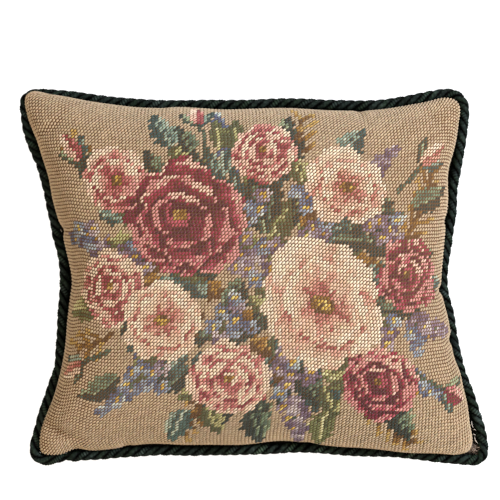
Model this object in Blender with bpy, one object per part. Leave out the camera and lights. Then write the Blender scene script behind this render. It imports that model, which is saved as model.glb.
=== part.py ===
"""A stuffed needlepoint cushion, lying on its back, with a twisted cord in its seam.

Blender 4.5 script, in metres, +Z up. The front panel faces up, the picture's top is towards +Y, and the
origin is on the floor under the middle of the cushion. Distances in the tables are in millimetres.

Every piece is worked out from one seam line. The panel, the top of the filling and the back cloth are the
same crowned form, each a step further in, so they nest with an even gap.
"""

import math

import bmesh
import bpy
import numpy as np

MM = 0.001

# Seam: the line that the middle of the cord follows, seen from above.
CORNERS = {
    "bottom_left": (-209.5, -175.5),
    "bottom_right": (220.0, -176.5),
    "top_right": (201.5, 174.5),
    "top_left": (-219.5, 174.0),
}
# How far the filling draws each side in from a straight line, at each tenth of its length.
SIDES = (
    # start, end, draw-in
    ("bottom_left", "bottom_right", (4.0, 7.0, 9.5, 9.5, 10.5, 12.5, 9.5, 8.0, 3.5)),
    ("bottom_right", "top_right", (4.5, 13.0, 22.0, 26.5, 30.5, 24.5, 18.5, 12.0, 5.0)),
    ("top_right", "top_left", (5.0, 11.0, 11.0, 9.5, 11.0, 11.0, 11.0, 8.0, 2.5)),
    ("top_left", "bottom_left", (3.0, 14.5, 22.0, 30.5, 34.0, 31.0, 27.5, 19.0, 6.5)),
)
# Length of seam that each corner's curve takes from its two sides.
CORNER_ROUND = {"bottom_left": 14.0, "bottom_right": 15.0, "top_right": 20.0, "top_left": 14.0}
RIM_SOFTENING = 6.0  # the cloth's edge turns a corner more gently than the cord does
SEAM_HEIGHT = 52.0
FLOOR_EASE = 3.0  # the back curves on to the floor over twice this height
CORNER_LIFT = {"bottom_left": -4.0, "bottom_right": 2.0, "top_right": -2.0, "top_left": 5.0}
CORNER_LIFT_REACH = 3.0  # power that keeps a corner's lift near that corner

# Crown: height over the seam is a product of one curve across and one curve up.
FRONT_CROWN = 60.0
BACK_CROWN = 60.0  # the floor flattens what would be lower than SEAM_HEIGHT
ACROSS_POWER, ACROSS_ROOT = 2.8, 0.50
UP_POWER, UP_ROOT = 2.3, 0.58

PANEL_THICKNESS = 2.2
GAP = 0.4
# The cord lies in a groove between the front's edge and the back's, both set off from its middle.
EDGE_INSET = 4.3
EDGE_RISE = 3.9

# Cord: three strands twisted to the left.
CORD_RADIUS = 5.0
CORD_VALLEY = 3.6
CORD_LAY = 28.5
STRANDS = 3
STEPS_PER_LAY = 11
CORD_CLEARANCE = CORD_RADIUS + 2 * GAP  # the groove's straight facets come nearer than its curve
CORD_END_TAPER = 0.45
CORD_END_LENGTH = 8.0
CORD_END_GAP = 0.8
CORD_JOIN_X = -180.0  # where the two ends meet, on the bottom side
# Past the join the untwisted end is a little fatter for a short way.
CORD_SWELL = 0.13
CORD_SWELL_AT = 8.0
CORD_SWELL_REACH = 5.0
CORD_TUCK = 0.8  # where the panel reaches over the cord, the cord lies this share of it lower

# Places where the seam isn't even. Each row pushes one line in (positive) or out, round one spot.
SEAM_SPOTS = (
    # line, x, y, push in, reach along the seam
    ("cord", -203.0, -168.0, -2.8, 18.0),  # the first end bulges round its corner
    ("cord", -150.0, -173.0, -0.8, 16.0),
    ("cord", -63.0, -171.0, -0.9, 14.0),
    ("cord", 219.0, -150.0, -0.9, 14.0),
    ("cord", 190.0, -38.0, -0.6, 15.0),
    ("cord", 191.0, 58.0, -0.9, 11.0),
    ("cord", 193.0, 85.0, 1.0, 10.0),
    ("cord", 199.0, 125.0, -0.8, 18.0),
    ("cord", 206.0, 155.0, -1.2, 18.0),
    ("cord", 181.0, 173.0, -2.2, 15.0),
    ("cord", -205.0, 174.0, -0.6, 22.0),
    ("cord", -212.0, 140.0, 0.7, 22.0),
    ("cord", -199.0, 80.0, 1.4, 16.0),
    ("cord", -189.0, 38.0, -1.8, 11.0),
    ("cord", -185.0, -85.0, 1.2, 13.0),
    ("panel", -175.0, -170.0, -1.2, 22.0),
    ("panel", -167.0, -171.0, 3.2, 9.0),  # the second end starts in a notch
    ("panel", -100.0, -161.0, 3.6, 26.0),
    ("panel", -40.0, -161.0, 2.0, 30.0),
    ("panel", 22.0, -158.0, 4.2, 26.0),
    ("panel", 98.0, -163.0, 0.6, 14.0),
    ("panel", 143.0, -166.0, -2.4, 22.0),
    ("panel", 216.0, -172.0, 10.2, 13.0),  # the corner is sewn short of the cord
    ("panel", 211.0, -142.0, 5.6, 18.0),
    ("panel", 196.0, -90.0, -2.0, 9.0),
    ("panel", 186.0, -45.0, -1.8, 20.0),
    ("panel", 180.0, 8.0, -1.6, 18.0),
    ("panel", 186.0, 98.0, 4.4, 19.0),
    ("panel", 203.0, 160.0, -1.4, 10.0),
    ("panel", 180.0, 172.0, -2.8, 13.0),
    ("panel", 75.0, 160.0, 1.9, 50.0),
    ("panel", -28.0, 160.0, 0.6, 16.0),
    ("panel", -72.0, 161.0, -1.8, 22.0),
    ("panel", -140.0, 163.0, -1.2, 25.0),
    ("panel", -190.0, 173.0, -3.5, 27.0),  # the ear covers the cord
    ("panel", -211.0, 174.0, -5.4, 12.0),
    ("panel", -205.0, 130.0, 2.4, 16.0),
    ("panel", -195.0, 92.0, 1.4, 13.0),
    ("panel", -176.0, -8.0, 3.4, 22.0),
    ("panel", -178.0, -40.0, 1.2, 60.0),
    ("panel", -203.0, -150.0, -2.4, 20.0),
)
# Creases and dents in the stuffed form. Depth is down into it, and a negative one is a ridge.
CREASES = (
    # face, x, y, direction in degrees, half length, half width, depth
    ("front", -196.0, 135.0, 20.0, 20.0, 6.0, 2.2),
    ("front", -178.0, 152.0, 48.0, 22.0, 7.0, 1.6),
    ("front", -190.0, 148.0, 34.0, 20.0, 6.0, -1.0),
    ("front", -184.0, -146.0, -22.0, 17.0, 6.5, 4.0),
    ("front", -194.0, -157.0, -20.0, 13.0, 5.0, -1.2),
    ("front", -182.0, -163.0, -12.0, 9.0, 4.5, 1.4),
    ("front", 101.0, 154.0, 84.0, 13.0, 6.0, 2.0),
    ("front", 196.0, -128.0, 12.0, 24.0, 8.0, 1.4),
    ("front", 180.0, 140.0, -42.0, 26.0, 8.0, 1.4),
    ("front", -160.0, 20.0, 4.0, 18.0, 8.0, 1.0),
    ("back", -176.0, 132.0, -38.0, 34.0, 9.0, 2.6),
    ("back", 186.0, 128.0, 44.0, 30.0, 9.0, 2.2),
    ("back", -172.0, -136.0, 40.0, 32.0, 9.0, 2.4),
    ("back", 190.0, -130.0, -36.0, 36.0, 10.0, 2.8),
    ("back", -168.0, 6.0, 3.0, 24.0, 9.0, 1.8),
    ("back", 166.0, -12.0, -6.0, 26.0, 10.0, 2.0),
)

CELLS_ACROSS, CELLS_UP = 36, 30
SEAM_POINTS = 1600
LOOKS = {
    # base colour, roughness
    "needlepoint_panel": ((0.36, 0.24, 0.15), 0.9),
    "cushion_body": ((0.14, 0.10, 0.08), 0.95),
    "edge_cord": ((0.012, 0.018, 0.014), 0.7),
}


def smooth_row(values, share):
    """Values at even steps, read between them on a smooth curve."""
    values = np.asarray(values, float)
    padded = np.concatenate([[2 * values[0] - values[1]], values, [2 * values[-1] - values[-2]]])
    place = np.clip(share, 0, 1) * (len(values) - 1)
    step = np.minimum(place.astype(int), len(values) - 2)
    t = place - step
    before, here, after, beyond = (padded[step + k] for k in range(4))
    bend = 2 * before - 5 * here + 4 * after - beyond
    turn = 3 * (here - after) + beyond - before
    return here + 0.5 * t * (after - before + t * (bend + t * turn))


def side_line(start, end, draw_in):
    """One side of the seam, from corner to corner, drawn in by the filling."""
    a, b = np.array(CORNERS[start]), np.array(CORNERS[end])
    length = np.linalg.norm(b - a)
    along = (b - a) / length
    inward = np.array([-along[1], along[0]])
    share = np.linspace(0, 1, SEAM_POINTS // 4, endpoint=False)
    depth = smooth_row((0.0, *draw_in, 0.0), share)
    return a + np.outer(share * length, along) + np.outer(depth, inward)


def even_loop(points, count):
    """A closed line read again at even steps along its length."""
    closed = np.vstack([points, points[:1]])
    run = np.concatenate([[0], np.cumsum(np.linalg.norm(np.diff(closed, axis=0), axis=1))])
    at = np.linspace(0, run[-1], count, endpoint=False)
    return np.column_stack([np.interp(at, run, closed[:, k]) for k in range(closed.shape[1])])


def seam_line():
    """The closed seam, counterclockwise from the bottom left, with its corners rounded."""
    sides = [side_line(*row) for row in SIDES]
    rounded = []
    for k, side in enumerate(sides):
        before, corner, next_corner = sides[k - 1], side[0], sides[(k + 1) % 4][0]
        start, end = SIDES[k][:2]
        entering = before[np.linalg.norm(before - corner, axis=1) > CORNER_ROUND[start]][-1]
        clear = np.linalg.norm(side - corner, axis=1) > CORNER_ROUND[start]
        clear &= np.linalg.norm(side - next_corner, axis=1) > CORNER_ROUND[end]
        t = np.linspace(0, 1, 40)[:, None]
        rounded.append((1 - t) ** 2 * entering + 2 * t * (1 - t) * corner + t**2 * side[clear][0])
        rounded.append(side[clear][1:])
    return even_loop(np.vstack(rounded), SEAM_POINTS)


def pushed_in(line, amount):
    """A closed line moved towards its inside by an amount at each of its points."""
    ahead = np.roll(line, -2, axis=0) - np.roll(line, 2, axis=0)
    ahead /= np.linalg.norm(ahead, axis=1)[:, None]
    inward = np.column_stack([-ahead[:, 1], ahead[:, 0]])
    return line + inward * np.broadcast_to(amount, len(line))[:, None]


def softened(line):
    """A closed line whose tight turns are eased over a short reach."""
    reach = round(RIM_SOFTENING / np.linalg.norm(line[1] - line[0]))
    return sum(np.roll(line, k, axis=0) for k in range(-reach, reach + 1)) / (2 * reach + 1)


def near(points, x, y, reach):
    """How strongly each point feels a spot: 1 on it, fading to 0 over its reach."""
    away = np.hypot(points[:, 0] - x, points[:, 1] - y) / reach
    return np.exp(-(away**2))


def spots_on(points, name):
    """How far one line is pushed in at each of its points."""
    rows = [row[1:] for row in SEAM_SPOTS if row[0] == name]
    return sum(push * near(points, x, y, reach) for x, y, push, reach in rows)


class Form:
    """The crowned form whose rim lies a distance inside the cord's middle line."""

    def __init__(self, rim, crown):
        self.crown = crown
        corners = [np.argmin(np.hypot(*(rim - CORNERS[name]).T)) for name in CORNERS]
        first = corners[0]
        rim = np.roll(rim, -first, axis=0)
        cuts = [(c - first) % len(rim) for c in corners] + [len(rim)]
        closed = np.vstack([rim, rim[:1]])
        self.sides = []
        for start, end in zip(cuts, cuts[1:]):
            side = closed[start : end + 1]
            run = np.concatenate([[0], np.cumsum(np.linalg.norm(np.diff(side, axis=0), axis=1))])
            self.sides.append((run / run[-1], side))

    def side(self, index, share):
        """The point at a share of one side's length."""
        run, points = self.sides[index]
        return np.column_stack([np.interp(share, run, points[:, k]) for k in range(2)])

    def plan(self, u, v):
        """The point over the floor for u across and v up, each from -1 to 1."""
        s, t = ((u + 1) / 2)[:, None], ((v + 1) / 2)[:, None]
        bottom, right = self.side(0, s[:, 0]), self.side(1, t[:, 0])
        top, left = self.side(2, 1 - s[:, 0]), self.side(3, 1 - t[:, 0])
        low_left, low_right = self.sides[0][1][0], self.sides[1][1][0]
        high_right, high_left = self.sides[2][1][0], self.sides[3][1][0]
        corners = (1 - s) * (1 - t) * low_left + s * (1 - t) * low_right + s * t * high_right
        corners = corners + (1 - s) * t * high_left
        return (1 - t) * bottom + t * top + (1 - s) * left + s * right - corners

    def height(self, u, v, plan, face):
        """How far the form swells from its edge, its creases taken off."""
        across = np.clip(1 - np.abs(u) ** ACROSS_POWER, 0, 1) ** ACROSS_ROOT
        up = np.clip(1 - np.abs(v) ** UP_POWER, 0, 1) ** UP_ROOT
        lift = across * up
        fade = np.minimum(1, lift * 4)
        return self.crown * lift - fade * creases(plan, face)


def seam_height(points):
    """The seam's height over the floor, a little uneven at its corners."""
    total = np.full(len(points), SEAM_HEIGHT)
    for name, (x, y) in CORNERS.items():
        share_x = np.clip(0.5 + 0.5 * points[:, 0] / x, 0, 1)
        share_y = np.clip(0.5 + 0.5 * points[:, 1] / y, 0, 1)
        total += CORNER_LIFT[name] * (share_x * share_y) ** CORNER_LIFT_REACH
    return total


def creases(points, face):
    """Depth of the creases and dents of one face at each point."""
    total = np.zeros(len(points))
    for side, x, y, turn, half_length, half_width, depth in CREASES:
        if side != face:
            continue
        c, s = math.cos(math.radians(turn)), math.sin(math.radians(turn))
        dx, dy = points[:, 0] - x, points[:, 1] - y
        along, beside = (dx * c + dy * s) / half_length, (dy * c - dx * s) / half_width
        total += depth * np.exp(-(along**2) - beside**2)
    return total


def lattice():
    """u and v of each lattice point, closer together where the form turns down to its seam."""
    across = np.sin(np.linspace(-1, 1, CELLS_ACROSS + 1) * math.pi / 2)
    up = np.sin(np.linspace(-1, 1, CELLS_UP + 1) * math.pi / 2)
    u, v = np.meshgrid(across, up)
    return u.ravel(), v.ravel()


def cord_drop(points):
    """How far under the seam the cord lies at each point."""
    return CORD_TUCK * np.clip(-spots_on(points, "panel"), 0, None)


def crowned_front(form, drop=0.0):
    """The lattice points of a form that swells up from the edge of the panel."""
    u, v = lattice()
    plan = form.plan(u, v)
    rise = EDGE_RISE - drop + form.height(u, v, plan, "front")
    return np.column_stack([plan, seam_height(plan) + rise])


def crowned_back(form):
    """The lattice points of a form that swells down from under the cord and lies on the floor."""
    u, v = lattice()
    plan = form.plan(u, v)
    level = seam_height(plan) - cord_drop(plan) - EDGE_RISE - form.height(u, v, plan, "back")
    eased = np.clip(level + FLOOR_EASE, 0, None) ** 2 / (4 * FLOOR_EASE)
    return np.column_stack([plan, np.where(level > FLOOR_EASE, level, eased)])


def groove(form):
    """The lattice points of a form at the cord's own height, of which only the rim is used."""
    plan = form.plan(*lattice())
    return np.column_stack([plan, seam_height(plan) - cord_drop(plan)])


def lattice_faces(bm, points, facing_up):
    """Adds a lattice of faces to a mesh and returns its vertices, row by row."""
    verts = [bm.verts.new(p * MM) for p in points]
    row = CELLS_ACROSS + 1
    for j in range(CELLS_UP):
        for i in range(CELLS_ACROSS):
            a = j * row + i
            corners = [a, a + 1, a + row + 1, a + row]
            slope_down = (i < CELLS_ACROSS / 2) == (j < CELLS_UP / 2)
            cut = (corners[:3], [corners[0], *corners[2:]])
            if slope_down:
                cut = ([corners[0], corners[1], corners[3]], corners[1:])
            for face in cut:
                bm.faces.new([verts[k] for k in (face if facing_up else face[::-1])])
    return verts


def rim_of(verts):
    """The outer vertices of a lattice, counterclockwise seen from above."""
    row, rows = CELLS_ACROSS + 1, CELLS_UP + 1
    order = [*range(row), *range(2 * row - 1, row * rows, row)]
    order += [*range(row * rows - 2, row * (rows - 1) - 1, -1), *range(row * (rows - 2), 0, -row)]
    return [verts[k] for k in order]


def join_rims(bm, upper, lower):
    """Closes the strip between two rims, facing out."""
    count = len(upper)
    for k in range(count):
        n = (k + 1) % count
        bm.faces.new([lower[k], lower[n], upper[n]])
        bm.faces.new([lower[k], upper[n], upper[k]])


def add_object(name, bm):
    """A mesh object of its own, smooth shaded, with its own material."""
    mesh = bpy.data.meshes.new(name)
    bm.to_mesh(mesh)
    bm.free()
    mesh.shade_smooth()
    colour, roughness = LOOKS[name]
    material = bpy.data.materials.new(name)
    material.use_nodes = True
    shader = material.node_tree.nodes["Principled BSDF"]
    shader.inputs["Base Color"].default_value = (*colour, 1)
    shader.inputs["Roughness"].default_value = roughness
    mesh.materials.append(material)
    obj = bpy.data.objects.new(name, mesh)
    bpy.context.scene.collection.objects.link(obj)
    return obj


def make_panel(rim):
    """The stitched front: a crowned sheet with the same lattice over and under."""
    bm = bmesh.new()
    crown = FRONT_CROWN - EDGE_RISE
    top = lattice_faces(bm, crowned_front(Form(rim, crown)), True)
    inner = Form(pushed_in(rim, PANEL_THICKNESS), crown - PANEL_THICKNESS)
    bottom = lattice_faces(bm, crowned_front(inner), False)
    join_rims(bm, rim_of(top), rim_of(bottom))
    return add_object("needlepoint_panel", bm)


def make_body(panel_rim, cord):
    """The filling and the back cloth: crowned under the panel, and lying flat on the floor."""
    bm = bmesh.new()
    crown = FRONT_CROWN - EDGE_RISE - PANEL_THICKNESS
    under_panel = Form(pushed_in(panel_rim, PANEL_THICKNESS + GAP), crown)
    top = lattice_faces(bm, crowned_front(under_panel, GAP), True)
    back = Form(softened(pushed_in(cord[:, :2], EDGE_INSET)), BACK_CROWN - EDGE_RISE)
    bottom = lattice_faces(bm, crowned_back(back), False)
    round_cord = Form(softened(pushed_in(cord[:, :2], CORD_CLEARANCE)), 0.0)
    middle = [bm.verts.new(p * MM) for p in rim_of(list(groove(round_cord)))]
    join_rims(bm, rim_of(top), middle)
    join_rims(bm, middle, rim_of(bottom))
    return add_object("cushion_body", bm)


def cord_path(cord):
    """The cord's middle line from one tucked end round to the other, at even steps."""
    start = np.argmin(np.hypot(cord[:, 0] - CORD_JOIN_X, cord[:, 1] - CORNERS["bottom_left"][1]))
    loop = np.roll(cord, -start, axis=0)
    loop = np.vstack([loop, loop[:1]])
    run = np.concatenate([[0], np.cumsum(np.linalg.norm(np.diff(loop, axis=0), axis=1))])
    length = run[-1] - CORD_END_GAP
    count = round(length / CORD_LAY * STEPS_PER_LAY) + 1
    at = np.linspace(0, length, count)
    return at, np.column_stack([np.interp(at, run, loop[:, k]) for k in range(3)])


def make_cord(cord):
    """A tube of crests and valleys that wind round the cord's middle line, one pair a strand."""
    at, path = cord_path(cord)
    ahead = np.gradient(path, axis=0)
    ahead /= np.linalg.norm(ahead, axis=1)[:, None]
    outward = np.cross(ahead, (0, 0, 1))
    outward /= np.linalg.norm(outward, axis=1)[:, None]
    upright = np.cross(outward, ahead)
    from_end = np.minimum(at, at[-1] - at) / CORD_END_LENGTH
    taper = CORD_END_TAPER + (1 - CORD_END_TAPER) * np.clip(from_end, 0, 1) ** 0.7
    taper += CORD_SWELL * np.exp(-(((at - CORD_SWELL_AT) / CORD_SWELL_REACH) ** 2))
    bm = bmesh.new()
    rings = []
    for k, centre in enumerate(path):
        ring = []
        for point in range(2 * STRANDS):
            radius = taper[k] * (CORD_VALLEY if point % 2 else CORD_RADIUS)
            angle = 2 * math.pi * (at[k] / CORD_LAY + point / (2 * STRANDS))
            spoke = math.cos(angle) * outward[k] + math.sin(angle) * upright[k]
            ring.append(bm.verts.new((centre + radius * spoke) * MM))
        rings.append(ring)
    for ring, after in zip(rings, rings[1:]):
        for point in range(2 * STRANDS):
            n = (point + 1) % (2 * STRANDS)
            bm.faces.new([ring[point], after[point], ring[n]])
            bm.faces.new([ring[n], after[point], after[n]])
    bm.faces.new(rings[0])
    bm.faces.new(rings[-1][::-1])
    return add_object("edge_cord", bm)


def stand_on_floor(objects):
    """Puts the origin on the floor under the middle of everything."""
    points = np.array([v.co for obj in objects for v in obj.data.vertices])
    low, high = points.min(axis=0), points.max(axis=0)
    shift = np.array([(low[0] + high[0]) / 2, (low[1] + high[1]) / 2, low[2]])
    for obj in objects:
        for vertex in obj.data.vertices:
            vertex.co = [vertex.co[k] - shift[k] for k in range(3)]


def main():
    for obj in list(bpy.data.objects):
        bpy.data.objects.remove(obj)
    seam = seam_line()
    cord = pushed_in(seam, spots_on(seam, "cord"))
    cord = np.column_stack([cord, seam_height(cord) - cord_drop(cord)])
    panel_rim = softened(pushed_in(seam, EDGE_INSET + spots_on(seam, "panel")))
    stand_on_floor([make_panel(panel_rim), make_body(panel_rim, cord), make_cord(cord)])


main()
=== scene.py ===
import math

import bpy
import numpy as np
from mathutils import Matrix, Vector
from mathutils.bvhtree import BVHTree


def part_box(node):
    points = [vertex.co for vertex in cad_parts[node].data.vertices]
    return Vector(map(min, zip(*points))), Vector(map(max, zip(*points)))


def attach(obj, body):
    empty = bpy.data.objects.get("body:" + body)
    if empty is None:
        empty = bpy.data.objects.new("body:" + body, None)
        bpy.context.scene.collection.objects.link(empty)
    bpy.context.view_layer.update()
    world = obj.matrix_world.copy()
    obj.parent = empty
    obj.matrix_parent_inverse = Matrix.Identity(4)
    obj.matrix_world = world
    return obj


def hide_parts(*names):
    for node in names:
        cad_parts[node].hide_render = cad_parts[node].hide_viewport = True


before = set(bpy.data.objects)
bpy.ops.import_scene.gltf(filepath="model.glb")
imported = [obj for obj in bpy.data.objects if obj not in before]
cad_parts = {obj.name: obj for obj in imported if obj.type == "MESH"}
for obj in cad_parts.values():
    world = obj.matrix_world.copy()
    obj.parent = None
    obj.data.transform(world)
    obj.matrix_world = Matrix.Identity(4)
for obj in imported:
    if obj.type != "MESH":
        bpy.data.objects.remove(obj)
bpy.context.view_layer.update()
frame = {"nodes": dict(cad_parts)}
print("frame loaded:", ", ".join(frame["nodes"]))

mm = 0.001
cornerOrder = ("bottomLeft", "bottomRight", "topRight", "topLeft")

# The seam that the pieces are sewn in, in millimetres seen from above, as the solids have it.
seamShape = {
    "corners": {
        "bottomLeft": (-209.5, -175.5),
        "bottomRight": (220.0, -176.5),
        "topRight": (201.5, 174.5),
        "topLeft": (-219.5, 174.0),
    },
    # start, end, how far the side draws in at each tenth of its length
    "sides": (
        ("bottomLeft", "bottomRight", (4.0, 7.0, 9.5, 9.5, 10.5, 12.5, 9.5, 8.0, 3.5)),
        ("bottomRight", "topRight", (4.5, 13.0, 22.0, 26.5, 30.5, 24.5, 18.5, 12.0, 5.0)),
        ("topRight", "topLeft", (5.0, 11.0, 11.0, 9.5, 11.0, 11.0, 11.0, 8.0, 2.5)),
        ("topLeft", "bottomLeft", (3.0, 14.5, 22.0, 30.5, 34.0, 31.0, 27.5, 19.0, 6.5)),
    ),
    "cornerRound": {"bottomLeft": 14.0, "bottomRight": 15.0, "topRight": 20.0, "topLeft": 14.0},
    "height": 52.0,
    "cornerLift": {"bottomLeft": -4.0, "bottomRight": 2.0, "topRight": -2.0, "topLeft": 5.0},
    "points": 1600,
    "softening": 6.0,
    # line, x, y, push in, reach
    "spots": (
        ("cord", -203.0, -168.0, -2.8, 18.0),
        ("cord", -150.0, -173.0, -0.8, 16.0),
        ("cord", -63.0, -171.0, -0.9, 14.0),
        ("cord", 219.0, -150.0, -0.9, 14.0),
        ("cord", 190.0, -38.0, -0.6, 15.0),
        ("cord", 191.0, 58.0, -0.9, 11.0),
        ("cord", 193.0, 85.0, 1.0, 10.0),
        ("cord", 199.0, 125.0, -0.8, 18.0),
        ("cord", 206.0, 155.0, -1.2, 18.0),
        ("cord", 181.0, 173.0, -2.2, 15.0),
        ("cord", -205.0, 174.0, -0.6, 22.0),
        ("cord", -212.0, 140.0, 0.7, 22.0),
        ("cord", -199.0, 80.0, 1.4, 16.0),
        ("cord", -189.0, 38.0, -1.8, 11.0),
        ("cord", -186.0, -87.0, 2.0, 13.0),
        ("cord", 203.0, -92.0, 1.0, 14.0),
        ("cord", 187.0, -18.0, 1.0, 12.0),
        ("cord", -206.0, 101.0, 0.9, 14.0),
        ("cord", 162.0, 175.0, -0.8, 12.0),
        ("cord", -222.0, 154.0, 0.6, 12.0),
        ("panel", -175.0, -170.0, -1.2, 22.0),
        ("panel", -167.0, -171.0, 3.2, 9.0),
        ("panel", -169.5, -171.0, 2.2, 6.0),
        ("panel", -186.0, -171.0, -1.0, 7.0),
        ("panel", -176.0, -17.0, -1.6, 8.0),
        ("panel", -222.0, 154.0, -0.9, 12.0),
        ("panel", -100.0, -161.0, 3.6, 26.0),
        ("panel", -40.0, -161.0, 2.0, 30.0),
        ("panel", 22.0, -158.0, 4.2, 26.0),
        ("panel", 98.0, -163.0, 0.6, 14.0),
        ("panel", 143.0, -166.0, -2.4, 22.0),
        ("panel", 216.0, -172.0, 11.6, 13.0),
        ("panel", 211.0, -142.0, 4.2, 18.0),
        ("panel", 196.0, -90.0, -2.0, 9.0),
        ("panel", 186.0, -45.0, -1.8, 20.0),
        ("panel", 180.0, 8.0, -1.6, 18.0),
        ("panel", 186.0, 98.0, 4.4, 19.0),
        ("panel", 203.0, 160.0, -1.4, 10.0),
        ("panel", 180.0, 172.0, -2.8, 13.0),
        ("panel", 75.0, 160.0, 1.6, 50.0),
        ("panel", -28.0, 160.0, 0.6, 16.0),
        ("panel", -72.0, 161.0, -1.8, 22.0),
        ("panel", -140.0, 163.0, -1.2, 25.0),
        ("panel", -190.0, 173.0, -3.5, 27.0),
        ("panel", -211.0, 174.0, -5.4, 12.0),
        ("panel", -205.0, 130.0, 2.4, 16.0),
        ("panel", -195.0, 92.0, 1.4, 13.0),
        ("panel", -176.0, -8.0, 3.4, 22.0),
        ("panel", -178.0, -40.0, 1.2, 60.0),
        ("panel", -203.0, -150.0, -2.4, 20.0),
    ),
    "cordTuck": 0.8,  # where the panel reaches over the cord, the cord lies this share of it lower
}

# The stuffed form: how high it swells from the seam, and its creases.
crown = {
    "front": 60.0,
    "back": 60.0,
    "acrossPower": 2.8, "acrossRoot": 0.50,
    "upPower": 2.3, "upRoot": 0.58,
    "edgeInset": 4.3,
    "edgeRise": 3.9,
    "floorEase": 3.0,
    # face, x, y, direction in degrees, half length, half width, depth
    "creases": (
        ("front", -196.0, 135.0, 20.0, 20.0, 6.0, 2.2),
        ("front", -178.0, 152.0, 48.0, 22.0, 7.0, 1.6),
        ("front", -190.0, 148.0, 34.0, 20.0, 6.0, -1.0),
        ("front", -184.0, -146.0, -22.0, 17.0, 6.5, 4.0),
        ("front", -194.0, -157.0, -20.0, 13.0, 5.0, -1.2),
        ("front", -182.0, -163.0, -12.0, 9.0, 4.5, 1.4),
        ("front", 101.0, 154.0, 84.0, 13.0, 6.0, 2.0),
        ("front", 196.0, -128.0, 12.0, 24.0, 8.0, 1.4),
        ("front", 180.0, 140.0, -42.0, 26.0, 8.0, 1.4),
        ("front", -160.0, 20.0, 4.0, 18.0, 8.0, 1.0),
        ("back", -176.0, 132.0, -38.0, 34.0, 9.0, 2.6),
        ("back", 186.0, 128.0, 44.0, 30.0, 9.0, 2.2),
        ("back", -172.0, -136.0, 40.0, 32.0, 9.0, 2.4),
        ("back", 190.0, -130.0, -36.0, 36.0, 10.0, 2.8),
        ("back", -168.0, 6.0, 3.0, 24.0, 9.0, 1.8),
        ("back", 166.0, -12.0, -6.0, 26.0, 10.0, 2.0),
    ),
    # where a thread draws the panel's edge in: x, y, way in, pull, half width, reach, depth
    "gathers": (
        (-184.0, 44.0, -4.0, 2.8, 4.5, 11.0, 1.8),
        (181.0, 53.0, 186.0, 2.0, 5.0, 9.0, 0.8),
        (178.0, -13.0, 176.0, 3.2, 3.6, 10.0, 1.4),
        (186.0, -60.0, 172.0, 2.2, 4.0, 12.0, 1.8),
        (101.0, 161.0, 266.0, 1.3, 4.0, 12.0, 1.6),
        (-86.0, 160.0, 272.0, 0.5, 5.0, 9.0, 0.8),
        (-120.0, -161.0, 88.0, 1.4, 5.0, 9.0, 0.8),
        (52.0, -160.0, 92.0, 1.2, 6.0, 9.0, 0.6),
    ),
}


def smoothRow(values, share):
    values = np.asarray(values, float)
    padded = np.concatenate([[2 * values[0] - values[1]], values, [2 * values[-1] - values[-2]]])
    place = np.clip(share, 0, 1) * (len(values) - 1)
    step = np.minimum(place.astype(int), len(values) - 2)
    t = place - step
    before, here, after, beyond = (padded[step + k] for k in range(4))
    bend = 2 * before - 5 * here + 4 * after - beyond
    turn = 3 * (here - after) + beyond - before
    return here + 0.5 * t * (after - before + t * (bend + t * turn))


def sideLine(start, end, drawIn):
    a, b = (np.array(seamShape["corners"][name]) for name in (start, end))
    length = np.linalg.norm(b - a)
    along = (b - a) / length
    inward = np.array([-along[1], along[0]])
    share = np.linspace(0, 1, seamShape["points"] // 4, endpoint=False)
    depth = smoothRow((0.0, *drawIn, 0.0), share)
    return a + np.outer(share * length, along) + np.outer(depth, inward)


def runLength(line):
    return np.concatenate([[0], np.cumsum(np.linalg.norm(np.diff(line, axis=0), axis=1))])


def evenLoop(points, count):
    closed = np.vstack([points, points[:1]])
    run = runLength(closed)
    at = np.linspace(0, run[-1], count, endpoint=False)
    return np.column_stack([np.interp(at, run, closed[:, k]) for k in range(closed.shape[1])])


def seamLine():
    sides = [sideLine(*row) for row in seamShape["sides"]]
    reach = seamShape["cornerRound"]
    rounded = []
    for k, side in enumerate(sides):
        before, corner, nextCorner = sides[k - 1], side[0], sides[(k + 1) % 4][0]
        start, end = seamShape["sides"][k][:2]
        entering = before[np.linalg.norm(before - corner, axis=1) > reach[start]][-1]
        clear = np.linalg.norm(side - corner, axis=1) > reach[start]
        clear &= np.linalg.norm(side - nextCorner, axis=1) > reach[end]
        t = np.linspace(0, 1, 40)[:, None]
        rounded.append((1 - t) ** 2 * entering + 2 * t * (1 - t) * corner + t**2 * side[clear][0])
        rounded.append(side[clear][1:])
    return evenLoop(np.vstack(rounded), seamShape["points"])


def pushedIn(line, amount):
    ahead = np.roll(line, -2, axis=0) - np.roll(line, 2, axis=0)
    ahead /= np.linalg.norm(ahead, axis=1)[:, None]
    inward = np.column_stack([-ahead[:, 1], ahead[:, 0]])
    return line + inward * np.broadcast_to(amount, len(line))[:, None]


def softened(line):
    reach = round(seamShape["softening"] / np.linalg.norm(line[1] - line[0]))
    return sum(np.roll(line, k, axis=0) for k in range(-reach, reach + 1)) / (2 * reach + 1)


def near(points, x, y, reach):
    return np.exp(-(np.hypot(points[..., 0] - x, points[..., 1] - y) / reach) ** 2)


def spotsOn(points, name):
    rows = [row[1:] for row in seamShape["spots"] if row[0] == name]
    return sum(push * near(points, x, y, reach) for x, y, push, reach in rows)


def seamHeight(points):
    total = np.full(points.shape[:-1], seamShape["height"])
    for name, (x, y) in seamShape["corners"].items():
        shareX = np.clip(0.5 + 0.5 * points[..., 0] / x, 0, 1)
        shareY = np.clip(0.5 + 0.5 * points[..., 1] / y, 0, 1)
        total += seamShape["cornerLift"][name] * (shareX * shareY) ** 3
    return total


def cordDrop(points):
    return seamShape["cordTuck"] * np.clip(-spotsOn(points, "panel"), 0, None)


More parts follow.
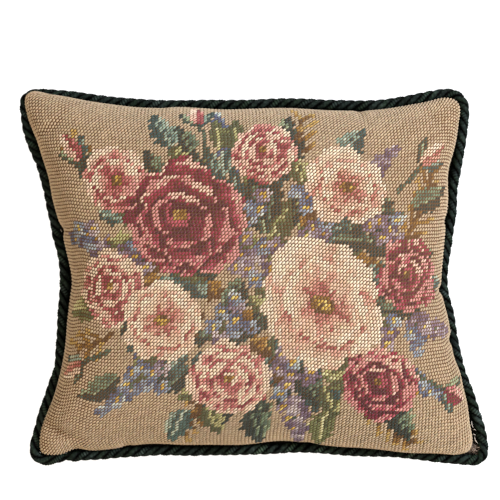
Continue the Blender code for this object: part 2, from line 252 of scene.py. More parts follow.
def creaseDepth(points, face):
    total = np.zeros(points.shape[:-1])
    for side, x, y, turn, halfLength, halfWidth, depth in crown["creases"]:
        if side == face:
            c, s = math.cos(math.radians(turn)), math.sin(math.radians(turn))
            dx, dy = points[..., 0] - x, points[..., 1] - y
            along, beside = (dx * c + dy * s) / halfLength, (dy * c - dx * s) / halfWidth
            total += depth * np.exp(-(along**2) - beside**2)
    return total


def makeForm(rim):
    # cuts a closed rim into its four sides, each with its share of length
    corners = [np.argmin(np.hypot(*(rim - seamShape["corners"][name]).T)) for name in cornerOrder]
    rolled = np.roll(rim, -corners[0], axis=0)
    cuts = [(c - corners[0]) % len(rim) for c in corners] + [len(rim)]
    closed = np.vstack([rolled, rolled[:1]])
    sides = []
    for start, end in zip(cuts, cuts[1:]):
        run = runLength(closed[start:end + 1])
        sides.append((run / run[-1], closed[start:end + 1]))
    return sides


def onSide(form, index, share):
    run, points = form[index]
    return np.stack([np.interp(share, run, points[:, k]) for k in range(2)], axis=-1)


def planOf(form, u, v):
    # the point over the floor for u across and v up, each from -1 to 1
    s, t = (u + 1) / 2, (v + 1) / 2
    bottom, right, top, left = (onSide(form, k, x) for k, x in enumerate((s, t, 1 - s, 1 - t)))
    s, t = s[..., None], t[..., None]
    lowLeft, lowRight, highRight, highLeft = (form[k][1][0] for k in range(4))
    corners = (1 - s) * (1 - t) * lowLeft + s * (1 - t) * lowRight + s * t * highRight + (1 - s) * t * highLeft
    return (1 - t) * bottom + t * top + (1 - s) * left + s * right - corners


def liftOf(u, v):
    across = np.clip(1 - np.abs(u) ** crown["acrossPower"], 0, 1) ** crown["acrossRoot"]
    return across * np.clip(1 - np.abs(v) ** crown["upPower"], 0, 1) ** crown["upRoot"]


def gathered(plan):
    # moves the points round each gather and says how deep they sink
    pulled, sunk = plan.copy(), np.zeros(plan.shape[:-1])
    for x, y, turn, pull, halfWidth, reach, depth in crown["gathers"]:
        way = np.array([math.cos(math.radians(turn)), math.sin(math.radians(turn))])
        inward = (plan - (x, y)) @ way
        beside = (plan - (x, y)) @ (-way[1], way[0])
        share = np.exp(-((beside / halfWidth) ** 2) - (inward / reach) ** 2)
        pulled += (pull * share)[..., None] * way
        sunk += depth * share * np.clip(inward / reach + 0.3, 0, 1)
    return pulled, sunk


def frontSurface(form, u, v, inset=0.0, drop=0.0):
    plan, sunk = gathered(planOf(form, u, v))
    lift = liftOf(u, v)
    swell = (crown["front"] - crown["edgeRise"] - inset) * lift
    swell -= np.minimum(1, lift * 4) * creaseDepth(plan, "front") + sunk
    return np.concatenate([plan, (seamHeight(plan) + crown["edgeRise"] - drop + swell)[..., None]], axis=-1)


def backSurface(form, u, v, drop):
    plan = planOf(form, u, v)
    lift = liftOf(u, v)
    swell = (crown["back"] - drop) * lift - np.minimum(1, lift * 4) * creaseDepth(plan, "back")
    level = seamHeight(plan) - cordDrop(plan) - drop - swell
    ease = crown["floorEase"]
    eased = np.clip(level + ease, 0, None) ** 2 / (4 * ease)
    return np.concatenate([plan, np.where(level > ease, level, eased)[..., None]], axis=-1)


seam = seamLine()
cordFlat = pushedIn(seam, spotsOn(seam, "cord"))
cordLine = np.column_stack([cordFlat, seamHeight(cordFlat) - cordDrop(cordFlat)])
panelRim = softened(pushedIn(seam, crown["edgeInset"] + spotsOn(seam, "panel")))
panelForm = makeForm(panelRim)

# The solids stand on the floor with the origin under their middle, so the pieces move with them.
cadLow, cadHigh = (np.array(corner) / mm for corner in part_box("needlepoint_panel"))
gridU, gridV = np.meshgrid(*(np.sin(np.linspace(-1, 1, n) * math.pi / 2) for n in (37, 31)))
panelPoints = frontSurface(panelForm, gridU, gridV).reshape(-1, 3)
toFrame = (cadLow + cadHigh - panelPoints.min(axis=0) - panelPoints.max(axis=0)) / 2
toFrame[2] = cadHigh[2] - panelPoints[:, 2].max()
print("pieces move by", np.round(toFrame, 2), "mm to meet the solids")


def meshObject(name, points, faces, smooth=True):
    # points in millimetres; faces all have the same number of corners
    mesh = bpy.data.meshes.new(name)
    points = np.asarray(points, float).reshape(-1, 3)
    faces = np.asarray(faces, np.int32)
    mesh.vertices.add(len(points))
    mesh.vertices.foreach_set("co", ((points + toFrame) * mm).astype(np.float32).ravel())
    mesh.loops.add(faces.size)
    mesh.loops.foreach_set("vertex_index", faces.ravel())
    mesh.polygons.add(len(faces))
    mesh.polygons.foreach_set("loop_start", np.arange(0, faces.size, faces.shape[1], dtype=np.int32))
    mesh.update(calc_edges=True)
    mesh.validate()
    if smooth:
        mesh.shade_smooth()
    obj = bpy.data.objects.new(name, mesh)
    bpy.context.scene.collection.objects.link(obj)
    return obj


def addUv(obj, coords, name="OFBake"):
    # one coordinate for each corner of each face
    layer = obj.data.uv_layers.new(name=name)
    layer.data.foreach_set("uv", np.asarray(coords, np.float32).ravel())


def sendHome(piece, slot, *nodes):
    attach(piece, "root")
    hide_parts(*nodes)


def gridFaces(rows, cols):
    a = (np.arange(rows - 1)[:, None] * cols + np.arange(cols - 1)).ravel()
    return np.column_stack([a, a + 1, a + cols + 1, a + cols])


def rimIndex(rows, cols):
    low = np.arange(cols)
    right = np.arange(2 * cols - 1, rows * cols, cols)
    high = np.arange(rows * cols - 2, (rows - 1) * cols - 1, -1)
    left = np.arange((rows - 2) * cols, 0, -cols)
    return np.concatenate([low, right, high, left])


def ringFaces(lower, upper):
    return np.column_stack([lower, np.roll(lower, -1), np.roll(upper, -1), upper])


# Node helpers for the materials

def newMaterial(name, roughness):
    material = bpy.data.materials.new(name)
    material.use_nodes = True
    shader = material.node_tree.nodes["Principled BSDF"]
    shader.inputs["Roughness"].default_value = roughness
    return material, shader


def addNode(material, kind, **values):
    node = material.node_tree.nodes.new(kind)
    for key, value in values.items():
        if key in node.inputs:
            node.inputs[key].default_value = value
        else:
            setattr(node, key, value)
    return node


def link(material, start, end):
    material.node_tree.links.new(start, end)


def fromSrgb(r, g, b):
    return tuple(((c / 255 + 0.055) / 1.055) ** 2.4 if c > 10 else c / 255 / 12.92 for c in (r, g, b))


def noise(material, scale, detail=2.0, stretch=None, source="Object", roughness=0.5):
    place = addNode(material, "ShaderNodeTexCoord")
    texture = addNode(material, "ShaderNodeTexNoise", Scale=scale, Detail=detail, Roughness=roughness)
    if stretch:
        mapping = addNode(material, "ShaderNodeMapping", Scale=stretch)
        link(material, place.outputs[source], mapping.inputs["Vector"])
        link(material, mapping.outputs["Vector"], texture.inputs["Vector"])
    else:
        link(material, place.outputs[source], texture.inputs["Vector"])
    return texture.outputs["Fac"]


def spread(material, value, low, high):
    node = addNode(material, "ShaderNodeMapRange")
    node.inputs["To Min"].default_value = low
    node.inputs["To Max"].default_value = high
    link(material, value, node.inputs["Value"])
    return node.outputs["Result"]


def multiplied(material, colour, factor):
    node = addNode(material, "ShaderNodeVectorMath", operation="MULTIPLY")
    link(material, colour, node.inputs[0])
    link(material, factor, node.inputs[1])
    return node.outputs["Vector"]


def addBump(material, shader, height, strength, distance):
    bump = addNode(material, "ShaderNodeBump", Strength=strength, Distance=distance)
    link(material, height, bump.inputs["Height"])
    link(material, bump.outputs["Normal"], shader.inputs["Normal"])


# The picture: a bouquet charted on the stitch grid. Columns run right and rows run up.
chart = {
    "cols": 131, "rows": 113, "seed": 11,
    "middle": (65, 57), "reach": (47, 42),
    "undergrowth": 6.0, "leafLength": (8, 14), "lightFrom": 70,
}
wools = {
    # family: threads from dark to light, sRGB
    "ground": ((192, 164, 131),),
    "crimson": ((88, 14, 32), (118, 24, 46), (150, 40, 60), (180, 76, 90), (214, 142, 134), (232, 188, 166)),
    "rose": ((140, 48, 56), (174, 80, 82), (200, 116, 110), (220, 154, 138), (232, 188, 164), (240, 212, 184)),
    "blush": ((170, 88, 80), (204, 130, 114), (222, 164, 142), (230, 188, 160), (236, 204, 175), (242, 219, 192)),
    "lilac": ((98, 78, 96), (126, 102, 118), (150, 130, 140), (178, 158, 162), (204, 186, 182)),
    "blue": ((84, 90, 114), (110, 118, 138), (138, 146, 158), (168, 174, 178), (198, 202, 192)),
    "leaf": ((40, 50, 40), (58, 74, 58), (84, 100, 78), (118, 132, 102), (158, 166, 128)),
    "sage": ((84, 86, 50), (116, 116, 68), (148, 146, 90), (182, 174, 116), (210, 200, 148)),
    "mist": ((52, 74, 68), (78, 102, 92), (110, 132, 118), (144, 160, 140), (184, 190, 166)),
    "ochre": ((98, 62, 18), (132, 90, 28), (162, 116, 44), (190, 150, 80)),
    "gold": ((176, 128, 44), (206, 164, 68), (228, 198, 112)),
}
cols, rows = chart["cols"], chart["rows"]
cellX, cellY = np.meshgrid(np.arange(cols), np.arange(rows))
families = list(wools)
familyAt = np.zeros((rows, cols), int)  # 0 is the ground
toneAt = np.zeros((rows, cols))
chartRandom = np.random.default_rng(chart["seed"])
cellNoise = chartRandom.normal(0, 1, (rows, cols))
patches = chartRandom.normal(0, 1, (rows, cols))
for _ in range(3):
    patches = (2 * patches + sum(np.roll(patches, way, axis) for way in (1, -1) for axis in (0, 1))) / 6
patches /= patches.std()


def workCells(where, family, tone):
    # tone runs from 0, dark, to 1, light, and goes to the nearest thread
    last = len(wools[family]) - 1
    shade = np.clip(np.round(np.broadcast_to(tone, where.shape) * last + 0.2 * cellNoise), 0, last)
    familyAt[where] = families.index(family)
    toneAt[where] = shade[where]


def darkenCells(where, steps=1):
    where = where & (familyAt > 0)
    toneAt[where] = np.maximum(0, toneAt[where] - steps)


def alongAndBeside(x, y, angle):
    c, s = math.cos(math.radians(angle)), math.sin(math.radians(angle))
    dx, dy = cellX - x, cellY - y
    return dx * c + dy * s, dy * c - dx * s


def sweepFrom(x, y, angle):
    around = np.degrees(np.arctan2(cellY - y, cellX - x)) - angle
    return np.mod(around + 180, 360) - 180


def rosePetal(x, y, angle, start, end, width, family, dark, light, bend, lip):
    # dark at its root and along its shaded side, light at its rolled lip
    along, beside = alongAndBeside(x, y, angle)
    share = (along - start) / (end - start)
    ripple = 0.05 * np.sin(beside * 0.8 + angle) - 0.07 * np.exp(-(beside + 0.1 * width) ** 2)
    half = width / 2 * np.sqrt(np.clip(1 - np.abs((share - 0.55) / (0.55 + ripple)) ** 2.4, 0, 1))
    inside = (share > 0) & (np.abs(beside) < half)
    facing = math.cos(math.radians(angle - chart["lightFrom"]))
    shadow = (share > 0.1) & (share < 1.0 + 1.3 / (end - start)) & (np.abs(beside) < half + 1.3) & ~inside
    darkenCells(shadow, 2 if facing < 0 else 1)
    lean = beside / np.maximum(half, 1) * math.sin(math.radians(angle - chart["lightFrom"]))
    tone = dark + (light - dark) * np.clip(share, 0, 1) ** bend + 0.10 * facing + 0.12 * lean + 0.09 * patches
    tone = tone + 0.10 * np.sin(beside * 1.3 + 3 * share + angle) * share
    workCells(inside, family, tone)
    roll = inside & ((share > 1 - 1.7 / (end - start)) | (half - np.abs(beside) < 1.0)) & (share > 0.5)
    workCells(roll & (patches > -1.1), family, lip + 0.12 * facing)
    workCells(inside & (share < 0.16), family, dark)


def fullRose(x, y, radius, family, turn, dark=0.02, light=0.45, bend=1.3, lip=0.82, heart="ochre"):
    # three rounds of petals, none quite like the next, round a tight swirl
    for count, start, end, width, off in ((6, 0.28, 1.0, 1.04, 0), (5, 0.16, 0.74, 0.86, 33), (4, 0.05, 0.48, 0.62, 62)):
        lower = [*range(0, count, 2), *range(1, count, 2)]
        for k in lower:
            wild = chartRandom.normal(0, 1, 4)
            angle = turn + off + 360 * k / count + 7 * wild[0]
            rosePetal(x + 0.03 * radius * wild[3], y, angle, start * radius, end * radius * (1 + 0.05 * wild[1]),
                      width * radius * (1 + 0.08 * wild[2]), family, dark, light + 0.04 * wild[3], bend, lip)
    middleX, middleY = x - 0.04 * radius, y + 0.06 * radius
    away = np.hypot(cellX - middleX, cellY - middleY)
    around = np.mod(sweepFrom(middleX, middleY, turn) + 70 * away, 360)
    workCells(away < 0.24 * radius, family, np.where(around < 170, light + 0.15, dark))
    if heart:
        spot = np.hypot(cellX - middleX, 1.4 * (cellY - middleY))
        workCells(spot < 0.14 * radius, heart, 0.5 + 0.25 * cellNoise)


def openRose(x, y, radius, family, turn, dark=0.12, light=0.92, bend=0.75, lip=1.0):
    for count, start, end, width, off in ((5, 0.18, 1.0, 1.22, 0), (5, 0.10, 0.68, 0.86, 40)):
        for k in [*range(0, count, 2), *range(1, count, 2)]:
            wild = chartRandom.normal(0, 1, 4)
            rosePetal(x, y, turn + off + 360 * k / count + 7 * wild[0], start * radius,
                      end * radius * (1 + 0.05 * wild[1]), width * radius * (1 + 0.07 * wild[2]),
                      family, dark, light + 0.05 * wild[3], bend, lip)
    # veins run out of the heart
    for k in range(11):
        along, beside = alongAndBeside(x, y, turn + 33 * k + 11 * math.sin(2 * k))
        reach = radius * (0.36 + 0.12 * math.sin(3 * k))
        workCells((along > 0.12 * radius) & (along < reach) & (np.abs(beside) < 0.55), family, 0.1 * (k % 3))
    away = np.hypot(cellX - x, 1.15 * (cellY - y))
    workCells(away < 0.20 * radius, "ochre", 0.35 + 0.25 * cellNoise)
    workCells((away < 0.13 * radius) & (cellNoise > -0.2), "gold", 0.6)


def leafShape(x, y, angle, length, width, family, bend=0.0, light=0.0):
    # a serrated leaf: one half lit, the other dark, with a pale vein
    along, beside = alongAndBeside(x, y, angle)
    share = along / length
    beside = beside - bend * length * share * (1 - share)
    teeth = 1 + 0.17 * np.sin(along * 2.1 + 1)
    half = width / 2 * np.sin(math.pi * np.clip(share, 0, 1) ** 0.75) * teeth
    inside = (share > 0) & (share < 1) & (np.abs(beside) < half + 0.2)
    darkenCells((share > -0.05) & (share < 1.05) & (np.abs(beside) < half + 1.2) & ~inside, 2)
    lit = beside * math.cos(math.radians(angle)) > 0.4
    tone = np.where(lit, 0.52, 0.06) + 0.26 * share * lit + light
    tone = np.where(inside & (np.abs(beside) > half - 0.9) & lit, tone + 0.18, tone)
    tone = np.where((np.abs(beside) <= 0.5) & (share < 0.75), 0.80 + light, tone)
    workCells(inside, family, tone)


def stemLine(x, y, angle, length, family, tone, bend=0.0, thick=0.62):
    along, beside = alongAndBeside(x, y, angle)
    share = along / length
    beside = beside - bend * length * share * (1 - share)
    workCells((share >= 0) & (share <= 1) & (np.abs(beside) < thick), family, tone)


def onStem(x, y, angle, length, share, bend=0.0):
    off = bend * length * share * (1 - share)
    c, s = math.cos(math.radians(angle)), math.sin(math.radians(angle))
    return x + length * share * c - off * s, y + length * share * s + off * c


def fernSprig(x, y, angle, length, bend=0.0, gap=4.2, size=6.5):
    stemLine(x, y, angle, length, "ochre", 0.15, bend, 0.75)
    count = int(length / gap)
    for k in range(1, count + 1):
        share = k / (count + 0.4)
        px, py = onStem(x, y, angle, length, share, bend)
        for side in (-1, 1):
            reach = size * (1.15 - 0.6 * share) * (1 + 0.2 * math.sin(5 * k + side))
            lean = angle + side * (50 - 8 * share) + 90 * bend * (0.5 - share)
            stemLine(px, py, lean, reach, "ochre", 0.35 + 0.3 * ((k + side) % 3), 0.12 * side, 0.66)
            tipX, tipY = onStem(px, py, lean, reach, 1.0, 0.12 * side)
            workCells(np.hypot(cellX - tipX, cellY - tipY) < 0.95, "ochre", 1.0)


def flowerSpike(x, y, angle, length, width, family, bend=0.0):
    # florets crowd a stem and get smaller to its tip
    stemLine(x, y, angle, length * 0.95, "leaf", 0.4, bend)
    count = int(length * 1.15)
    for k in range(count):
        share = k / count
        px, py = onStem(x, y, angle, length, share, bend)
        out = width / 2 * (1 - 0.85 * share) * math.sin(k * 2.4)
        px -= out * math.sin(math.radians(angle))
        py += out * math.cos(math.radians(angle))
        away = np.hypot(cellX - px, cellY - py)
        tone = 0.5 + 0.42 * math.sin(k * 1.7)
        workCells(away < 1.9 - 0.8 * share, family, tone + 0.13 * (cellY - py))
        if k % 5 == 2 and share < 0.8:
            workCells(away < 0.8, "gold", 0.7)


def floretCluster(x, y, radius, family, count, turn=0.0):
    # small blossoms, a few of them in the neighbouring colour, some with a gold eye
    other = {"lilac": "blue", "blue": "lilac"}[family]
    for k in range(count):
        wild = chartRandom.normal(0, 1, 3)
        angle, out = math.radians(turn + k * 137.5 + 14 * wild[0]), radius * math.sqrt((k + 0.3) / count)
        px, py = x + out * math.cos(angle), y + 0.85 * out * math.sin(angle)
        away = np.hypot(cellX - px, cellY - py)
        darkenCells(away < 3.2)
        petals = 4 + (k % 3 == 0)
        for petal in range(petals):
            a = math.radians(petal * 360 / petals + k * 31)
            spot = np.hypot(cellX - px - 1.5 * math.cos(a), cellY - py - 1.4 * math.sin(a))
            workCells(spot < 1.15, other if k % 4 == 3 else family, 0.2 + 0.2 * petal + 0.14 * wild[1])
        if wild[2] > -0.5:
            workCells(away < 0.75, "gold", 0.7)


def roseBud(x, y, angle, size, family):
    stemLine(x, y, angle + 180, size * 1.5, "leaf", 0.35, 0.15)
    leafShape(x, y, angle + 42, size * 1.05, size * 0.42, "leaf", 0.1, 0.1)
    leafShape(x, y, angle - 42, size * 1.05, size * 0.42, "mist", -0.1, 0.0)
    along, beside = alongAndBeside(x, y, angle)
    share = along / (size * 1.25)
    half = 0.36 * size * np.sin(math.pi * np.clip(share, 0, 1) ** 0.8)
    inside = (share > 0) & (share < 1) & (np.abs(beside) < half)
    workCells(inside, family, 0.35 + 0.5 * share + 0.25 * np.sign(beside))
    workCells(inside & (np.abs(beside + 0.12 * along) < 0.6), family, 0.1)


def drawUndergrowth():
    # a thicket of leaves behind the flowers, pointing out from the middle
    (midX, midY), (reachX, reachY) = chart["middle"], chart["reach"]
    step = chart["undergrowth"]
    spots = []
    for row, y in enumerate(np.arange(midY - reachY, midY + reachY, step * 0.86)):
        for x in np.arange(midX - reachX + (row % 2) * step / 2, midX + reachX, step):
            dx, dy = (x - midX) / reachX, (y - midY) / reachY
            around = math.atan2(dy, dx)
            ragged = 0.86 + 0.07 * math.sin(3 * around + 0.8) + 0.08 * math.sin(7 * around + 2)
            if math.hypot(dx, dy) < ragged:
                spots.append((x, y, math.degrees(around), math.hypot(dx, dy)))
    chartRandom.shuffle(spots)
    for x, y, around, out in spots:
        jitter = chartRandom.normal(0, 1, 4)
        length = np.clip(chart["leafLength"][0] + 3 + 2 * jitter[0], *chart["leafLength"])
        family = chartRandom.choice(["leaf", "mist", "sage", "ochre"], p=[0.32, 0.24, 0.24, 0.20])
        if family == "ochre" and out > 0.7:
            family = "sage"
        leafShape(x + jitter[1], y + jitter[2], around + 38 * jitter[3] * (1.4 - out), length,
                  length * 0.52, family, 0.12 * jitter[0], 0.05 * jitter[1])


def drawBouquet():
    for sprig in (
        # x, y, angle, length, bend
        (30, 76, 128, 26, 0.22), (108, 66, 62, 26, -0.20), (92, 22, -42, 22, 0.2),
        (22, 40, 204, 14, 0.2), (52, 24, -118, 18, -0.2), (80, 88, 84, 18, 0.2),
    ):
        fernSprig(*sprig)
    for spike in (
        # x, y, angle, length, width, family, bend
        (62, 88, 104, 21, 6, "blue", 0.10), (22, 62, 158, 16, 8, "lilac", -0.20),
        (34, 32, -134, 23, 8, "blue", 0.15), (74, 20, -80, 17, 7, "lilac", 0.10),
        (110, 44, -14, 16, 8, "lilac", 0.10), (98, 84, 48, 16, 6, "lilac", 0.15),
        (106, 30, -30, 16, 7, "blue", -0.15),
    ):
        flowerSpike(*spike)
    drawUndergrowth()
    for leaf in (
        # x, y, angle, length, width, family, bend, light
        (26, 84, 146, 16, 8, "leaf", 0.2, 0.1), (44, 94, 112, 14, 7, "mist", 0.1, 0.0),
        (72, 92, 66, 15, 7, "leaf", -0.2, 0.05), (92, 90, 60, 14, 7, "mist", 0.2, 0.0),
        (112, 78, 22, 14, 7, "leaf", -0.2, 0.0), (114, 54, 4, 12, 7, "mist", 0.2, 0.1),
        (100, 22, -58, 16, 8, "leaf", 0.2, 0.0), (84, 18, -96, 15, 7, "sage", -0.1, 0.1),
        (62, 18, -76, 15, 8, "leaf", 0.2, 0.0), (44, 18, -104, 14, 7, "mist", -0.1, 0.1),
        (24, 28, -146, 15, 7, "leaf", 0.2, 0.0), (17, 46, 186, 12, 7, "sage", -0.2, 0.1),
    ):
        leafShape(*leaf)
    for bud in (
        # x, y, angle, size, family
        (17, 90, 128, 8, "rose"), (116, 90, 42, 8, "blush"), (52, 102, 98, 7, "rose"),
        (119, 24, -36, 8, "crimson"), (12, 30, 208, 7, "blush"),
    ):
        roseBud(*bud)
    for cluster in (
        # x, y, radius, family, florets
        (64, 62, 8, "lilac", 9), (66, 76, 6, "blue", 5), (57, 45, 8, "blue", 8),
        (104, 72, 6, "lilac", 6), (28, 62, 6, "lilac", 6), (72, 28, 8, "lilac", 9),
        (102, 42, 6, "lilac", 5), (84, 69, 5, "lilac", 5), (33, 28, 6, "blue", 6),
        (112, 40, 5, "blue", 4), (14, 68, 5, "blue", 5), (80, 79, 4, "blue", 3),
    ):
        floretCluster(*cluster)
    openRose(93, 83, 11.0, "blush", 20)
    fullRose(111, 58, 10.0, "crimson", 64)
    fullRose(21, 53, 10.5, "rose", 12, 0.05, 0.72, 1.0, 1.0)
    fullRose(70, 93, 9.0, "rose", 40, 0.0, 0.55, 1.1, 0.9)
    openRose(27, 84, 9.5, "rose", 52, 0.15, 0.85, 0.8, 1.0)
    fullRose(45, 73, 16.5, "crimson", 18)
    fullRose(56, 27, 11.0, "rose", 70, 0.1, 0.8, 0.9, 1.0)
    openRose(84, 49, 17.0, "blush", 44)
    fullRose(99, 27, 10.5, "crimson", 30)
    openRose(37, 44, 11.0, "blush", 8)


drawBouquet()
print("chart drawn:", int((familyAt > 0).sum()), "of", rows * cols, "stitches are in the bouquet")

# The stitched panel: a canvas and, on it, one plump slanted wool stitch at each crossing.
stitch = {
    "length": 1.0, "width": 0.96,  # shares of the room that a crossing gives
    "rise": 1.30, "sink": 0.45, "dive": 0.46, "endShade": 0.54,
    # over the top and bottom rims the stitches are longer, their ends flatter and less darkened by painted shade, and
    # over the left and right rims it is the other way about, so there the rows stand apart
    "rollFrom": 0.22, "rollOver": 0.35, "rollLength": 0.10, "rollWidth": -0.08, "rollDive": 0.6, "rollEnds": 0.65, "rollRise": 0.32,
    "wander": 0.06, "sizeSpread": 0.06,
    # the crest tint is a cooler painted highlight on each stitch, and the side tint is painted shade down its sides
    # and ends
    "shadeSpread": 0.055, "hueSpread": 0.018, "paintedCrestHighlight": (0.95, 0.975, 1.0), "paintedSideShade": (0.59, 0.525, 0.435),
    "seed": 21,
}


def respaced(u, v, points):
    # moves a lattice's points along its rows until they are evenly far apart
    for r in range(len(u)):
        run = runLength(points[r])
        even = np.linspace(0, run[-1], len(run))
        u[r], v[r] = np.interp(even, run, u[r]), np.interp(even, run, v[r])


def evenLattice(form, across, up):
    u, v = np.meshgrid(np.linspace(-1, 1, across + 1), np.linspace(-1, 1, up + 1))
    for _ in range(8):
        respaced(u, v, frontSurface(form, u, v))
        turnedV, turnedU = v.T.copy(), u.T.copy()
        respaced(turnedU, turnedV, frontSurface(form, turnedU, turnedV))
        u, v = turnedU.T.copy(), turnedV.T.copy()
    return u, v


latticeU, latticeV = evenLattice(panelForm, cols, rows)
clothTop = frontSurface(panelForm, latticeU, latticeV)
pitchAcross = np.linalg.norm(np.diff(clothTop, axis=1), axis=2)
pitchUp = np.linalg.norm(np.diff(clothTop, axis=0), axis=2)
print("stitch pitch %.2f mm across and %.2f mm up" % (pitchAcross.mean(), pitchUp.mean()))


def stitchTemplate():
    # one stitch, modelled once: a ball drawn out into a plump slanted float, flat where it lies
    bpy.ops.object.select_all(action="DESELECT")
    bpy.ops.mesh.primitive_uv_sphere_add(segments=6, ring_count=4, radius=1.0)
    ball = bpy.context.object
    bpy.ops.object.mode_set(mode="EDIT")
    bpy.ops.mesh.select_all(action="SELECT")
    bpy.ops.transform.rotate(value=math.pi / 2, orient_axis="Y", center_override=(0, 0, 0))
    bpy.ops.mesh.quads_convert_to_tris()
    bpy.ops.object.mode_set(mode="OBJECT")
    points = np.array([v.co for v in ball.data.vertices])
    faces = np.array([p.vertices for p in ball.data.polygons])
    bpy.data.objects.remove(ball)
    points[:, 0] = np.sign(points[:, 0]) * np.abs(points[:, 0]) ** 0.75
    return points, faces


def stitchFrames():
    a, b = clothTop[:-1, :-1], clothTop[:-1, 1:]
    c, d = clothTop[1:, 1:], clothTop[1:, :-1]
    centre = (a + b + c + d) / 4
    across, up = (b + c - a - d) / 2, (c + d - a - b) / 2
    normal = np.cross(across, up)
    area = np.linalg.norm(normal, axis=2, keepdims=True)
    normal /= area
    slant = across + up
    length = np.linalg.norm(slant, axis=2, keepdims=True)
    slant /= length
    beside = np.cross(normal, slant)
    return centre, slant, beside, normal, length[..., 0] / 2, area[..., 0] / length[..., 0] / 2


def woolColours():
    # each thread's colour, a little different from stitch to stitch
    random = np.random.default_rng(stitch["seed"])
    most = max(len(tones) for tones in wools.values())
    table = np.zeros((len(families), most, 3))
    for k, family in enumerate(families):
        for n in range(most):
            table[k, n] = fromSrgb(*wools[family][min(n, len(wools[family]) - 1)])
    colour = table[familyAt, toneAt.astype(int)]
    shade = 1 + stitch["shadeSpread"] * random.normal(0, 1, (rows, cols))
    rowShade = 1 + 0.012 * random.normal(0, 1, (rows, 1))
    hue = 1 + stitch["hueSpread"] * random.normal(0, 1, (rows, cols, 3))
    return np.clip(colour * (shade * rowShade)[..., None] * hue, 0.003, 0.95)


woolRgb = woolColours()


def makeStitches(name, where):
    points, faces = stitchTemplate()
    centre, slant, beside, normal, halfLength, halfWidth = (part[where] for part in stitchFrames())
    random = np.random.default_rng(stitch["seed"] + int(where.sum()))
    count = len(centre)
    wander = stitch["wander"] * random.normal(0, 1, (count, 1))
    size = 1 + stitch["sizeSpread"] * random.normal(0, 1, (count, 3))
    axis = slant + wander * beside
    side = beside - wander * slant
    overSide, overTop = np.clip((np.abs(normal[:, :2].T) - stitch["rollFrom"]) / stitch["rollOver"], 0, 1)
    roll = overTop - overSide
    length = stitch["length"] + stitch["rollLength"] * roll
    long = (halfLength * length * size[:, 0])[:, None, None] * points[None, :, :1]
    width = stitch["width"] + stitch["rollWidth"] * roll
    wide = (halfWidth * width * size[:, 1])[:, None, None] * points[None, :, 1:2]
    rise = np.where(points[:, 2] > 0, stitch["rise"], stitch["sink"]) * points[:, 2]
    dive = stitch["dive"] * (1 - stitch["rollDive"] * roll)[:, None] * np.abs(points[:, 0]) ** 2.5
    height = size[:, 2:] * (1 - stitch["rollRise"] * overTop)[:, None]
    tall = height * (rise - dive - stitch["rise"] * 0.95)
    verts = centre[:, None, :] + long * axis[:, None, :] + wide * side[:, None, :]
    verts = verts + tall[..., None] * normal[:, None, :]
    allFaces = faces[None, :, :] + (np.arange(count) * len(points))[:, None, None]
    obj = meshObject(name, verts, allFaces.reshape(-1, 3))
    # where each point lies on its stitch, for the fibres and the painted shade, and its thread's colour
    onStitch = np.stack([points[:, 0], np.arctan2(points[:, 1], points[:, 2]) / math.pi], axis=-1)
    place = obj.data.attributes.new("onStitch", "FLOAT_VECTOR", "POINT")
    local = np.zeros((count, len(points), 3), np.float32)
    local[..., :2] = onStitch
    # the third number says how strongly painted shade darkens the ends
    local[..., 2] = (stitch["endShade"] * (1 - stitch["rollEnds"] * roll))[:, None]
    place.data.foreach_set("vector", local.ravel())
    colour = obj.data.attributes.new("wool", "FLOAT_COLOR", "POINT")
    rgba = np.ones((count, len(points), 4), np.float32)
    rgba[..., :3] = woolRgb[where][:, None, :]
    colour.data.foreach_set("color", rgba.ravel())
    # a tidy bake map: one small square for each stitch
    side = math.ceil(math.sqrt(count))
    cell = np.stack([np.arange(count) % side, np.arange(count) // side], axis=-1) / side
    flat = 0.5 + 0.45 * points[:, :2] * (0.55 + 0.45 * (points[:, 2:] > -0.1))
    corners = flat[faces].reshape(-1, 2)
    addUv(obj, cell[:, None, :] + corners[None, :, :] / side)
    return obj


